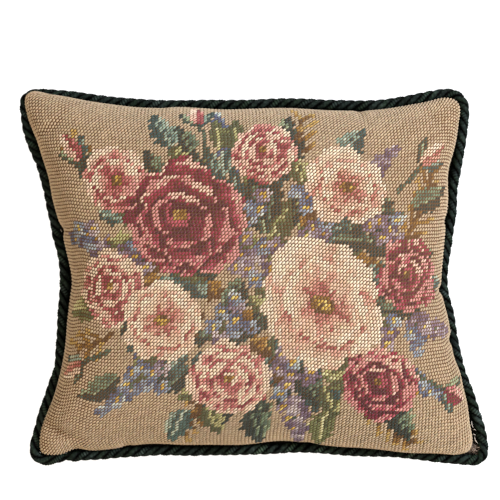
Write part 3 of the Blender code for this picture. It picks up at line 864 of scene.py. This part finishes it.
def woolMaterial():
    material, shader = newMaterial("stitchedWool", 0.72)
    shader.inputs["Sheen Weight"].default_value = 0.32
    shader.inputs["Sheen Roughness"].default_value = 0.45
    shader.inputs["Specular IOR Level"].default_value = 0.4
    wool = addNode(material, "ShaderNodeAttribute", attribute_name="wool")
    onStitch = addNode(material, "ShaderNodeAttribute", attribute_name="onStitch")
    # plies twist along the float, and loose fibres blur them
    split = addNode(material, "ShaderNodeSeparateXYZ")
    link(material, onStitch.outputs["Vector"], split.inputs["Vector"])
    twist = addNode(material, "ShaderNodeMath", operation="MULTIPLY_ADD")
    twist.inputs[1].default_value = 1.1
    link(material, split.outputs["X"], twist.inputs[0])
    around = addNode(material, "ShaderNodeMath", operation="MULTIPLY")
    around.inputs[1].default_value = 3.0
    link(material, split.outputs["Y"], around.inputs[0])
    link(material, around.outputs["Value"], twist.inputs[2])
    ply = addNode(material, "ShaderNodeMath", operation="SINE")
    turns = addNode(material, "ShaderNodeMath", operation="MULTIPLY")
    turns.inputs[1].default_value = 2 * math.pi
    link(material, twist.outputs["Value"], turns.inputs[0])
    link(material, turns.outputs["Value"], ply.inputs[0])
    fibres = noise(material, 2600.0, 3.0)
    blotch = noise(material, 14.0, 2.0)
    shade = addNode(material, "ShaderNodeMath", operation="MULTIPLY")
    link(material, spread(material, fibres, 0.84, 1.26), shade.inputs[0])
    link(material, spread(material, blotch, 0.93, 1.07), shade.inputs[1])
    # painted shade darkens each stitch down its sides and at its ends, and its crest takes a cooler painted highlight
    # tint
    aside = addNode(material, "ShaderNodeMath", operation="ABSOLUTE")
    link(material, split.outputs["Y"], aside.inputs[0])
    outward = addNode(material, "ShaderNodeMath", operation="ABSOLUTE")
    link(material, split.outputs["X"], outward.inputs[0])
    atEnd = addNode(material, "ShaderNodeMath", operation="POWER")
    atEnd.inputs[1].default_value = 3.0
    link(material, outward.outputs["Value"], atEnd.inputs[0])
    endShare = addNode(material, "ShaderNodeMath", operation="MULTIPLY")
    link(material, atEnd.outputs["Value"], endShare.inputs[0])
    link(material, split.outputs["Z"], endShare.inputs[1])
    fromCrest = addNode(material, "ShaderNodeMath", operation="MAXIMUM")
    link(material, aside.outputs["Value"], fromCrest.inputs[0])
    link(material, endShare.outputs["Value"], fromCrest.inputs[1])
    side = addNode(material, "ShaderNodeValToRGB")
    for element, place, tint in zip(side.color_ramp.elements, (0.24, 0.56), (stitch["paintedCrestHighlight"], stitch["paintedSideShade"])):
        element.position, element.color = place, (*tint, 1)
    link(material, fromCrest.outputs["Value"], side.inputs["Fac"])
    paintedShading = multiplied(material, wool.outputs["Color"], side.outputs["Color"])
    link(material, multiplied(material, paintedShading, shade.outputs["Value"]), shader.inputs["Base Color"])
    height = addNode(material, "ShaderNodeMath", operation="MULTIPLY_ADD")
    height.inputs[1].default_value = 0.35
    link(material, ply.outputs["Value"], height.inputs[0])
    link(material, fibres, height.inputs[2])
    addBump(material, shader, height.outputs["Value"], 0.6, 0.0003)
    return material


def stitchPieces():
    # the ground is worked in four blocks; the bouquet is parted by its wools
    material = woolMaterial()
    ground = familyAt == 0
    midCol, midRow = cols // 2, rows // 2
    parts = {
        "ground_upper_left": ground & (cellX < midCol) & (cellY >= midRow),
        "ground_upper_right": ground & (cellX >= midCol) & (cellY >= midRow),
        "ground_lower_left": ground & (cellX < midCol) & (cellY < midRow),
        "ground_lower_right": ground & (cellX >= midCol) & (cellY < midRow),
        "flower_stitches": np.isin(familyAt, [families.index(f) for f in ("crimson", "rose", "blush")]),
        "leaf_stitches": np.isin(familyAt, [families.index(f) for f in ("leaf", "sage", "mist")]),
        "spray_stitches": np.isin(familyAt, [families.index(f) for f in ("lilac", "blue", "ochre", "gold")]),
    }
    pieces = []
    for name, where in parts.items():
        piece = makeStitches(name, where)
        piece.data.materials.append(material)
        sendHome(piece, "needlepoint", "needlepoint_panel")
        pieces.append(piece)
        print(name, int(where.sum()), "stitches,", len(piece.data.polygons), "faces")
    return pieces, material


# Canvas: the woven ground that shows between the stitches, coloured dark as painted shade for the gaps.
canvas = {"thickness": 1.0, "below": 1.15}


def makeCanvas():
    inset = canvas["below"]
    topForm = makeForm(pushedIn(panelRim, inset))
    lowForm = makeForm(pushedIn(panelRim, inset + canvas["thickness"]))
    top = frontSurface(topForm, latticeU, latticeV, inset)
    low = frontSurface(lowForm, latticeU, latticeV, inset + canvas["thickness"])
    shape = (rows + 1, cols + 1)
    faces = gridFaces(*shape)
    count = shape[0] * shape[1]
    rim = rimIndex(*shape)
    allFaces = np.vstack([faces, faces[:, ::-1] + count, ringFaces(rim + count, rim)])
    obj = meshObject("canvas_sheet", np.vstack([top.reshape(-1, 3), low.reshape(-1, 3)]), allFaces)
    s, t = np.meshgrid(np.linspace(0, 1, cols + 1), np.linspace(0, 1, rows + 1))
    upper = np.column_stack([0.01 + 0.48 * s.ravel(), 0.01 + 0.98 * t.ravel()])
    lower = np.column_stack([0.51 + 0.48 * s.ravel(), 0.01 + 0.98 * t.ravel()])
    uv = np.vstack([upper, lower])[allFaces.ravel()]
    strip = np.column_stack([np.linspace(0.495, 0.505, 4)] * 2)
    edge = len(rim) * 4
    uv[-edge:] = np.tile([[0.494, 0.2], [0.494, 0.21], [0.506, 0.21], [0.506, 0.2]], (len(rim), 1))
    addUv(obj, uv)
    material, shader = newMaterial("canvasWeave", 0.95)
    weave = noise(material, 900.0, 2.0)
    # painted shade: the canvas colours are dark so the gaps between the stitches read as shadow
    ramp = addNode(material, "ShaderNodeValToRGB")
    ramp.color_ramp.elements[0].color = (*fromSrgb(70, 44, 22), 1)
    ramp.color_ramp.elements[1].color = (*fromSrgb(110, 77, 44), 1)
    link(material, weave, ramp.inputs["Fac"])
    link(material, ramp.outputs["Color"], shader.inputs["Base Color"])
    addBump(material, shader, weave, 0.5, 0.0003)
    obj.data.materials.append(material)
    sendHome(obj, "needlepoint", "needlepoint_panel")
    return obj


# Thread ends: tails of the ground wool along one edge, and a tuft of fuzz in the corner that gapes.
threadEnds = {
    # start x, y, end x, y, how far it bows, radius
    "tails": (
        (206.6, -137.8, 207.8, -143.6, 0.6, 0.42),
        (207.8, -145.8, 210.4, -146.2, -0.6, 0.38),
        (208.2, -149.4, 210.2, -150.6, 0.5, 0.38),
        (209.4, -152.6, 211.9, -158.2, 0.8, 0.42),
        (-183.6, 44.8, -182.2, 42.2, 0.4, 0.34),
        (187.4, -50.4, 186.6, -54.2, 0.5, 0.34),
    ),
    "tailRise": 3.4, "tailColour": (196, 182, 168),
    "fuzz": 120, "fuzzMiddle": (207.8, -164.4), "fuzzReach": (5.0, 3.0),
    "fuzzRise": (-3.0, 1.6), "fuzzLength": (2.5, 5.5), "fuzzRadius": 0.22,
    "fuzzDark": (58, 42, 32), "fuzzLight": (188, 160, 140),
    "rings": 7, "sides": 5, "seed": 3,
}


def threadTube(start, end, bow, radius, rise):
    # a short bowed tail that tapers at both ends, in rings of points and a point at each end
    t = np.linspace(0, 1, threadEnds["rings"])[:, None]
    start, end = np.array(start, float), np.array(end, float)
    ahead = unit(end - start)
    across = unit(np.cross(ahead, (0, 0, 1)))
    upright = np.cross(across, ahead)
    middle = start + (end - start) * t + np.sin(math.pi * t) * (bow * across + rise * upright)
    turn = np.arange(threadEnds["sides"]) * 2 * math.pi / threadEnds["sides"]
    ring = np.cos(turn)[:, None] * across + np.sin(turn)[:, None] * upright
    thick = radius * (0.45 + 0.55 * np.sin(math.pi * t) ** 0.5)
    rings = middle[:, None, :] + thick[:, :, None] * ring[None, :, :]
    return np.vstack([rings.reshape(-1, 3), start - 0.2 * ahead, end + 0.2 * ahead])


def threadFaces():
    rings, sides = threadEnds["rings"], threadEnds["sides"]
    a = np.arange(rings - 1)[:, None] * sides
    k, n = np.arange(sides), (np.arange(sides) + 1) % sides
    walls = [np.stack([a + k, a + n, a + sides + n], -1), np.stack([a + k, a + sides + n, a + sides + k], -1)]
    first, last, high = rings * sides, rings * sides + 1, (rings - 1) * sides
    caps = [np.stack([np.full(sides, first), n, k], -1), np.stack([np.full(sides, last), high + k, high + n], -1)]
    return np.vstack([part.reshape(-1, 3) for part in walls + caps])


def makeThreadEnds(material):
    random = np.random.default_rng(threadEnds["seed"])
    tubes, colours = [], []
    for x0, y0, x1, y1, bow, radius in threadEnds["tails"]:
        level = seamHeight(np.array([x0, y0])) + threadEnds["tailRise"]
        tubes.append(threadTube((x0, y0, level - 1.2), (x1, y1, level), bow, radius, 0.8))
        colours.append(fromSrgb(*threadEnds["tailColour"]))
    dark, light = (np.array(fromSrgb(*threadEnds[key])) for key in ("fuzzDark", "fuzzLight"))
    for _ in range(threadEnds["fuzz"]):
        x, y = np.array(threadEnds["fuzzMiddle"]) + np.array(threadEnds["fuzzReach"]) * random.normal(0, 0.5, 2)
        low, high = threadEnds["fuzzRise"]
        level = seamHeight(np.array([x, y])) + low + (high - low) * random.random()
        turn, length = random.random() * 2 * math.pi, random.uniform(*threadEnds["fuzzLength"])
        end = (x + length * math.cos(turn), y + length * math.sin(turn), level + random.normal(0, 0.8))
        tubes.append(threadTube((x, y, level), end, random.normal(0, 0.6), threadEnds["fuzzRadius"], random.normal(0, 0.5)))
        colours.append(dark + (light - dark) * random.random() ** 1.6)
    faces, size = threadFaces(), len(tubes[0])
    allFaces = faces[None] + (np.arange(len(tubes)) * size)[:, None, None]
    obj = meshObject("thread_ends", np.vstack(tubes), allFaces.reshape(-1, 3))
    colour = obj.data.attributes.new("wool", "FLOAT_COLOR", "POINT")
    rgba = np.ones((len(tubes), size, 4), np.float32)
    rgba[..., :3] = np.array(colours)[:, None, :]
    colour.data.foreach_set("color", rgba.ravel())
    place = obj.data.attributes.new("onStitch", "FLOAT_VECTOR", "POINT")
    along = np.append(np.repeat(np.linspace(-1, 1, threadEnds["rings"]), threadEnds["sides"]), (-1, 1))
    local = np.zeros((len(tubes), size, 3), np.float32)
    local[..., 0] = 0.7 * along
    place.data.foreach_set("vector", local.ravel())
    # bake map: one narrow strip for each tail
    side = np.append(np.tile(np.arange(threadEnds["sides"]) / threadEnds["sides"], threadEnds["rings"]), (0.5, 0.5))
    spots = np.stack([0.5 + 0.48 * along, side], -1)[faces].reshape(-1, 2)
    strips = np.tile(spots, (len(tubes), 1, 1))
    strips[..., 1] = (strips[..., 1] * 0.9 + np.arange(len(tubes))[:, None]) / len(tubes)
    addUv(obj, strips)
    obj.data.materials.append(material)
    sendHome(obj, "needlepoint", "needlepoint_panel")
    return obj


# Body: the filling in its back cloth. Only the back and a sliver at one corner show.
body = {
    "across": 96, "up": 80,
    "behind": 1.6, "under": 2.6, "ledge": 0.5, "ledgeDrop": 3.6,
    "underCord": 2.0, "underCordDrop": 5.1, "grooveFade": 0.012, "grooveShade": 0.25,
    "puckerDepth": 0.9, "puckerReach": 0.16, "puckerCount": 46,
    "voxel": 6.0, "pressure": 4.0, "frames": 20, "cap": 7.0, "startScale": 0.985,
    "napColour": (96, 82, 72),
}


def puckers(u, v):
    # short gathers that run in from the seam, uneven along it
    edge = np.maximum(np.abs(u), np.abs(v))
    turn = np.arctan2(v, u)
    wave = np.sin(turn * body["puckerCount"] + 2.2 * np.sin(turn * 5)) * (0.6 + 0.4 * np.sin(turn * 7 + 1))
    near1 = np.clip((edge - (1 - body["puckerReach"])) / body["puckerReach"], 0, 1)
    return body["puckerDepth"] * wave * near1 * (1 - near1) * 4


def swollenBack(points, faces):
    # the cloth simulation: the filling presses the back cloth out while its seam is held
    start = meshObject("fillingStart", points, faces)
    bpy.ops.object.select_all(action="DESELECT")
    start.select_set(True)
    bpy.context.view_layer.objects.active = start
    remesh = start.modifiers.new("remesh", "REMESH")
    remesh.mode = "VOXEL"
    remesh.voxel_size = body["voxel"] * mm
    bpy.ops.object.modifier_apply(modifier="remesh")
    held = start.vertex_groups.new(name="held")
    seamZ = (seamShape["height"] - 6.0 + toFrame[2]) * mm
    heldPoints = [v.index for v in start.data.vertices if v.co.z > seamZ or v.co.z < 0.0015]
    held.add(heldPoints, 1.0, "REPLACE")
    before = np.array([v.co for v in start.data.vertices])
    cloth = start.modifiers.new("cloth", "CLOTH")
    cloth.settings.use_pressure = True
    cloth.settings.uniform_pressure_force = body["pressure"]
    cloth.settings.vertex_group_mass = "held"
    cloth.settings.effector_weights.gravity = 0
    cloth.settings.mass = 0.3
    cloth.settings.bending_stiffness = 0.3
    for step in range(1, body["frames"] + 1):
        bpy.context.scene.frame_set(step)
    bpy.ops.object.modifier_apply(modifier="cloth")
    bpy.context.scene.frame_set(1)
    after = np.array([v.co for v in start.data.vertices])
    move = after - before
    far = np.linalg.norm(move, axis=1, keepdims=True)
    move *= np.minimum(1, body["cap"] * mm / np.maximum(far, 1e-9))
    print("filling simulated: moves up to %.1f mm" % (far.max() / mm))
    tree = BVHTree.FromPolygons([tuple(p) for p in before], [tuple(p.vertices) for p in start.data.polygons])
    corners = [tuple(p.vertices) for p in start.data.polygons]
    bpy.data.objects.remove(start)
    return tree, corners, move


def makeBody():
    across, up = body["across"], body["up"]
    u, v = np.meshgrid(*(np.sin(np.linspace(-1, 1, n + 1) * math.pi / 2) for n in (across, up)))
    underForm = makeForm(pushedIn(panelRim, body["behind"]))
    top = frontSurface(underForm, u, v, body["under"], body["under"])
    backForm = makeForm(softened(pushedIn(cordFlat, body["underCord"])))
    low = backSurface(backForm, u, v, body["underCordDrop"])
    low[..., 2] = np.maximum(low[..., 2] + puckers(u, v) * (low[..., 2] > 4), 0)
    # behind the panel's edge the cloth drops, then runs on under the cord
    ledge = planOf(makeForm(pushedIn(panelRim, body["behind"] - body["ledge"])), u, v)
    level = seamHeight(ledge) - cordDrop(ledge) - body["ledgeDrop"]
    ledge = np.concatenate([ledge, level[..., None]], axis=-1)
    shape = (up + 1, across + 1)
    count = shape[0] * shape[1]
    rim = rimIndex(*shape)
    middle = ledge.reshape(-1, 3)[rim]
    middleIndex = 2 * count + np.arange(len(rim))
    faces = gridFaces(*shape)
    sides = [ringFaces(middleIndex, rim), ringFaces(rim + count, middleIndex)]
    allFaces = np.vstack([faces, faces[:, ::-1] + count, *sides])
    points = np.vstack([top.reshape(-1, 3), low.reshape(-1, 3), middle])
    tree, corners, move = swollenBack(points, allFaces)
    flat = low.reshape(-1, 3)
    hold = np.clip((1 - np.maximum(np.abs(u), np.abs(v))) / 0.12, 0, 1).ravel()
    for k, point in enumerate((flat + toFrame) * mm):
        if hold[k] > 0 and flat[k, 2] > 0.5:
            face = tree.find_nearest(tuple(point))[2]
            shift = move[list(corners[face])].mean(axis=0) / mm
            flat[k] += shift * hold[k]
    flat[:, 2] = np.maximum(flat[:, 2], 0)
    points[count:2 * count] = flat
    obj = meshObject("cushion_filling", points, allFaces)
    s, t = np.meshgrid(np.linspace(0, 1, across + 1), np.linspace(0, 1, up + 1))
    upper = np.column_stack([0.02 + 0.22 * s.ravel(), 0.02 + 0.2 * t.ravel()])
    lower = np.column_stack([0.02 + 0.96 * s.ravel(), 0.26 + 0.72 * t.ravel()])
    uv = np.vstack([upper, lower, np.full((len(rim), 2), 0.245)])[allFaces.ravel()]
    addUv(obj, uv)
    # 1 on the cloth that lies behind the panel's edge, fading out a little way down the back; there painted shade
    # darkens the cloth
    fade = np.clip(1 - (1 - np.maximum(np.abs(u), np.abs(v)).ravel()) / body["grooveFade"], 0, 1)
    behind = np.concatenate([np.ones(count), fade, np.ones(len(rim))])
    obj.data.attributes.new("paintedGrooveShade", "FLOAT", "POINT").data.foreach_set("value", behind.astype(np.float32))
    material, shader = newMaterial("napBack", 0.92)
    shader.inputs["Sheen Weight"].default_value = 0.04
    shader.inputs["Sheen Roughness"].default_value = 0.35
    shader.inputs["Specular IOR Level"].default_value = 0.08
    groove = addNode(material, "ShaderNodeAttribute", attribute_name="paintedGrooveShade")
    nap = noise(material, 1400.0, 3.0)
    brushed = noise(material, 22.0, 3.0, (1.0, 2.4, 1.0))
    shade = addNode(material, "ShaderNodeMath", operation="MULTIPLY")
    link(material, spread(material, nap, 0.7, 1.3), shade.inputs[0])
    link(material, spread(material, brushed, 0.75, 1.25), shade.inputs[1])
    # painted shade: the cloth's colour is darkened by grooveShade where it lies in the groove
    dimmed = addNode(material, "ShaderNodeMath", operation="MULTIPLY")
    link(material, shade.outputs["Value"], dimmed.inputs[0])
    link(material, spread(material, groove.outputs["Fac"], 1.0, body["grooveShade"]), dimmed.inputs[1])
    tint = addNode(material, "ShaderNodeRGB")
    tint.outputs["Color"].default_value = (*fromSrgb(*body["napColour"]), 1)
    link(material, multiplied(material, tint.outputs["Color"], dimmed.outputs["Value"]), shader.inputs["Base Color"])
    addBump(material, shader, nap, 0.5, 0.0005)
    obj.data.materials.append(material)
    sendHome(obj, "back_cloth", "cushion_body")
    return obj


# Edge cord: three strands laid to the left, each of finer yarns.
cord = {
    "radius": 5.0, "lay": 28.5, "strands": 3,
    "strandRadius": 2.42, "strandOffset": 2.58, "strandWide": 1.2, "grooveShade": 0.03,
    "step": 0.9, "around": 12,
    "joinX": -180.0, "overlap": 1.4, "endLength": 8.0, "endTaper": 0.45,
    "looser": 0.7, "looseReach": 42.0,  # how much longer the lay is before the join
    "swell": 0.13, "swellAt": 8.0, "swellReach": 5.0,
    "ribPitch": 1.9, "ribRise": 0.20,
    "dark": (13, 19, 16), "middle": (27, 38, 33), "light": (52, 66, 59),
    "greyDye": (1.12, 0.98, 1.08), "greenDye": (1.06, 1.04, 0.88),
}


def cordRun():
    start = np.argmin(np.hypot(cordLine[:, 0] - cord["joinX"], cordLine[:, 1] - seamShape["corners"]["bottomLeft"][1]))
    loop = np.roll(cordLine, -start, axis=0)
    loop = np.vstack([loop, loop[:1]])
    run = runLength(loop)
    # the two ends pass each other by a little, one over the other
    loop, run = np.vstack([loop, loop[1:9]]), np.concatenate([run, run[-1] + run[1:9]])
    length = run[-9] + cord["overlap"]
    return length, loop, run


def unit(vectors):
    return vectors / np.linalg.norm(vectors, axis=-1, keepdims=True)


def makeStrand(index, length, loop, run, material):
    # the third strand is ribbed, so it gets more rings
    ribbed = index == cord["strands"] - 1
    step = cord["ribPitch"] / 4 if ribbed else cord["step"]
    at = np.linspace(0, length, round(length / step) + 1)
    path = np.column_stack([np.interp(at, run, loop[:, k]) for k in range(3)])
    path[:, 2] += 0.8 * np.exp(-((at / 6.0) ** 2)) - 0.8 * np.exp(-(((length - at) / 6.0) ** 2))
    ahead = unit(np.gradient(path, axis=0))
    outward = unit(np.cross(ahead, (0, 0, 1)))
    upright = np.cross(outward, ahead)
    fromEnd = np.minimum(at, at[-1] - at) / cord["endLength"]
    taper = cord["endTaper"] + (1 - cord["endTaper"]) * np.clip(fromEnd, 0, 1) ** 0.7
    taper = (taper + cord["swell"] * np.exp(-(((at - cord["swellAt"]) / cord["swellReach"]) ** 2)))[:, None]
    wobble = 0.12 * np.sin(at / 37.0 + index) + 0.08 * np.sin(at / 13.0 + 2 * index)
    pace = 1 / (1 + cord["looser"] * np.exp(-(((length - at) / cord["looseReach"]) ** 2)))
    turns = np.concatenate([[0], np.cumsum((pace[1:] + pace[:-1]) / 2 * np.diff(at))]) / cord["lay"]
    angle = 2 * math.pi * (turns + index / cord["strands"]) + wobble
    spoke = np.cos(angle)[:, None] * outward + np.sin(angle)[:, None] * upright
    middle = path + taper * cord["strandOffset"] * spoke
    along = unit(np.gradient(middle, axis=0))
    out = unit(spoke - (spoke * along).sum(axis=1, keepdims=True) * along)
    beside = np.cross(along, out)
    around = cord["around"]
    turn = np.arange(around) * 2 * math.pi / around
    radius = cord["strandRadius"] * taper * (1 + 0.03 * np.sin(at / 5.1 + index))[:, None]
    if ribbed:
        radius = radius + cord["ribRise"] * np.sin(2 * math.pi * at / cord["ribPitch"])[:, None]
    rings = middle[:, None, :] + radius[:, None, :] * (
        np.cos(turn)[None, :, None] * out[:, None, :]
        + cord["strandWide"] * np.sin(turn)[None, :, None] * beside[:, None, :]
    )
    count = len(at)
    a = np.arange(count - 1)[:, None] * around
    k, n = np.arange(around), (np.arange(around) + 1) % around
    quads = np.stack([a + k, a + around + k, a + around + n, a + n], axis=-1).reshape(-1, 4)
    tris = np.vstack([np.stack([quads[:, 0], quads[:, 1], quads[:, 2]], 1),
                      np.stack([quads[:, 0], quads[:, 2], quads[:, 3]], 1)])
    points = rings.reshape(-1, 3)
    ends = np.vstack([middle[:1], middle[-1:]])
    first, last = len(points), len(points) + 1
    caps = np.vstack([np.stack([np.full(around, first), k, n], 1),
                      np.stack([np.full(around, last), n + a[-1, 0] + around, k + a[-1, 0] + around], 1)])
    faces = np.vstack([tris, caps])
    points = np.vstack([points, ends])
    obj = meshObject("cord_strand_%d" % (index + 1), points, faces)
    place = obj.data.attributes.new("onStrand", "FLOAT_VECTOR", "POINT")
    local = np.zeros((len(points), 3), np.float32)
    local[:-2, 0] = np.repeat(at, around)
    local[:-2, 1] = np.tile(np.arange(around) / around, count)
    # the third number runs from 0 outside to 1 inside the cord and places the painted shade in the grooves
    local[:-2, 2] = np.tile(1 - np.abs(1 - 2 * np.arange(around) / around), count)
    place.data.foreach_set("vector", local.ravel())
    # the bake map winds the long strand up in short rows
    perRow = 130
    rowsNeeded = math.ceil((count - 1) / perRow)
    ringOf = np.repeat(np.arange(count - 1), around)
    spot = np.tile(k, count - 1)
    row, col = ringOf // perRow, ringOf % perRow
    x0, x1 = col / perRow, (col + 1) / perRow
    y0 = (row + 0.04 + 0.9 * spot / around) / rowsNeeded
    y1 = (row + 0.04 + 0.9 * (spot + 1) / around) / rowsNeeded
    corner = [np.stack([x0, y0], 1), np.stack([x1, y0], 1), np.stack([x1, y1], 1), np.stack([x0, y1], 1)]
    uvTris = np.concatenate([np.stack([corner[0], corner[1], corner[2]], 1),
                             np.stack([corner[0], corner[2], corner[3]], 1)])
    uvCaps = np.tile(np.array([[0.5, 0.995], [0.501, 0.999], [0.502, 0.995]]), (len(caps), 1, 1))
    addUv(obj, np.concatenate([uvTris, uvCaps]))
    obj.data.materials.append(material)
    sendHome(obj, "cord", "edge_cord")
    return obj


def cordMaterial(name, ribs):
    material, shader = newMaterial(name, 0.5)
    shader.inputs["Specular IOR Level"].default_value = 0.05
    onStrand = addNode(material, "ShaderNodeAttribute", attribute_name="onStrand")
    split = addNode(material, "ShaderNodeSeparateXYZ")
    link(material, onStrand.outputs["Vector"], split.inputs["Vector"])
    # fine yarns cross the strand at a steep slant
    across = addNode(material, "ShaderNodeMath", operation="MULTIPLY")
    across.inputs[1].default_value = 2.0 if ribs < 1 else 0.0
    link(material, split.outputs["Y"], across.inputs[0])
    slantSum = addNode(material, "ShaderNodeMath", operation="MULTIPLY_ADD")
    slantSum.inputs[1].default_value = 0.35 if ribs < 1 else 1 / cord["ribPitch"]
    link(material, split.outputs["X"], slantSum.inputs[0])
    link(material, across.outputs["Value"], slantSum.inputs[2])
    turns = addNode(material, "ShaderNodeMath", operation="MULTIPLY")
    turns.inputs[1].default_value = 2 * math.pi
    link(material, slantSum.outputs["Value"], turns.inputs[0])
    rib = addNode(material, "ShaderNodeMath", operation="SINE")
    link(material, turns.outputs["Value"], rib.inputs[0])
    fibres = noise(material, 1800.0, 2.0)
    patches = noise(material, 60.0, 3.0)
    blotches = noise(material, 420.0, 1.0)
    ramp = addNode(material, "ShaderNodeValToRGB")
    ramp.color_ramp.elements[0].color = (*fromSrgb(*cord["dark"]), 1)
    ramp.color_ramp.elements[1].color = (*fromSrgb(*cord["light"]), 1)
    ramp.color_ramp.elements[0].position = 0.25
    ramp.color_ramp.elements[1].position = 0.85
    middle = ramp.color_ramp.elements.new(0.55)
    middle.color = (*fromSrgb(*cord["middle"]), 1)
    link(material, patches, ramp.inputs["Fac"])
    # dye lots: some lengths are greener, others greyer
    dye = addNode(material, "ShaderNodeValToRGB")
    for element, place, tint in zip(dye.color_ramp.elements, (0.4, 0.6), (cord["greyDye"], cord["greenDye"])):
        element.position, element.color = place, (*tint, 1)
    link(material, noise(material, 75.0, 1.0), dye.inputs["Fac"])
    dyed = multiplied(material, ramp.outputs["Color"], dye.outputs["Color"])
    shade = addNode(material, "ShaderNodeMath", operation="MULTIPLY")
    link(material, spread(material, blotches, 0.2, 1.9), shade.inputs[0])
    # painted light and shade: the sine lightens and darkens the colour across the ribs and fine yarns
    ribShade = addNode(material, "ShaderNodeMapRange")
    ribShade.inputs["From Min"].default_value = -1.0
    ribShade.inputs["To Min"].default_value = 1 - 0.7 * ribs
    ribShade.inputs["To Max"].default_value = 1 + 1.2 * ribs
    link(material, rib.outputs["Value"], ribShade.inputs["Value"])
    link(material, ribShade.outputs["Result"], shade.inputs[1])
    # painted shade: the strands are darker where they meet: Z runs from 0 outside to 1 inside the cord
    groove = addNode(material, "ShaderNodeMapRange")
    for key, value in {"From Min": 0.30, "From Max": 0.56, "To Min": 1.0, "To Max": cord["grooveShade"]}.items():
        groove.inputs[key].default_value = value
    uneven = addNode(material, "ShaderNodeMath", operation="MULTIPLY_ADD")
    uneven.inputs[1].default_value = 0.36
    link(material, noise(material, 260.0, 1.0), uneven.inputs[0])
    link(material, split.outputs["Z"], uneven.inputs[2])
    link(material, uneven.outputs["Value"], groove.inputs["Value"])
    grooved = addNode(material, "ShaderNodeMath", operation="MULTIPLY")
    link(material, shade.outputs["Value"], grooved.inputs[0])
    link(material, groove.outputs["Result"], grooved.inputs[1])
    link(material, multiplied(material, dyed, grooved.outputs["Value"]), shader.inputs["Base Color"])
    height = addNode(material, "ShaderNodeMath", operation="MULTIPLY_ADD")
    height.inputs[1].default_value = 0.5
    link(material, fibres, height.inputs[0])
    link(material, rib.outputs["Value"], height.inputs[2])
    addBump(material, shader, height.outputs["Value"], 0.55, 0.00025)
    return material


def makeCord():
    length, loop, run = cordRun()
    smooth, ribbed = cordMaterial("satinStrand", 0.25), cordMaterial("ribbedStrand", 1.0)
    return [makeStrand(k, length, loop, run, ribbed if k == 2 else smooth) for k in range(cord["strands"])]


# Studio: a pale floor, soft light and the camera straight over the cushion.
studio = {
    "scale": 0.954,  # millimetres a pixel in the seam's plane
    "pictureCentre": (254.0, 276.0),
    "cameraHeight": 820.0,
    "keyPlace": (1.15, 0.50, 1.05), "keySize": 0.40, "keyPower": 33.0, "keyColour": (0.925, 0.99, 1.07),
    "fillPlace": (-0.8, -0.85, 1.35), "fillSize": 1.2, "fillPower": 19.0, "fillColour": (1.0, 0.87, 0.67),
    "world": 0.336, "worldColour": (1.0, 0.92, 0.81), "floorGlow": 0.86,
}


def makeStudio():
    scene = bpy.context.scene
    scene.view_settings.view_transform = "Standard"
    bpy.ops.object.select_all(action="DESELECT")
    bpy.ops.mesh.primitive_plane_add(size=8.0, location=(0, 0, 0))
    floor = bpy.context.object
    floor.name = "floor"
    material, shader = newMaterial("paleFloor", 0.9)
    shader.inputs["Base Color"].default_value = (0.35, 0.35, 0.35, 1)
    shader.inputs["Emission Color"].default_value = (1, 1, 1, 1)
    shader.inputs["Emission Strength"].default_value = studio["floorGlow"]
    floor.data.materials.append(material)
    floor.visible_diffuse = False  # its glow is only a backdrop
    floor.visible_glossy = False
    world = bpy.data.worlds.new("studio")
    world.use_nodes = True
    world.node_tree.nodes["Background"].inputs["Color"].default_value = (*studio["worldColour"], 1)
    world.node_tree.nodes["Background"].inputs["Strength"].default_value = studio["world"]
    scene.world = world
    for name in ("key", "fill"):
        light = bpy.data.lights.new(name + "Light", "AREA")
        light.size = studio[name + "Size"]
        light.energy = studio[name + "Power"]
        light.color = studio[name + "Colour"]
        lamp = bpy.data.objects.new(name + "Light", light)
        lamp.location = studio[name + "Place"]
        lamp.rotation_euler = (Vector((0, 0, 0.06)) - lamp.location).to_track_quat("-Z", "Y").to_euler()
        scene.collection.objects.link(lamp)
    camera = bpy.data.objects.new("camera", bpy.data.cameras.new("camera"))
    scene.collection.objects.link(camera)
    centreX = (250.0 - studio["pictureCentre"][0]) * studio["scale"] + toFrame[0]
    centreY = (studio["pictureCentre"][1] - 250.0) * studio["scale"] + toFrame[1]
    seamZ = seamShape["height"] + toFrame[2]
    camera.location = (centreX * mm, centreY * mm, (seamZ + studio["cameraHeight"]) * mm)
    camera.data.sensor_width = 36.0
    camera.data.lens = 36.0 * studio["cameraHeight"] / (500 * studio["scale"])
    camera.data.clip_start = 0.01
    scene.camera = camera


makeStudio()
cordPieces = makeCord()
print("cord laid:", len(cordPieces), "strands")
filling = makeBody()
print("body made")
canvasSheet = makeCanvas()
stitchedPieces, woolFinish = stitchPieces()
stitchedPieces.append(makeThreadEnds(woolFinish))
print("panel stitched")
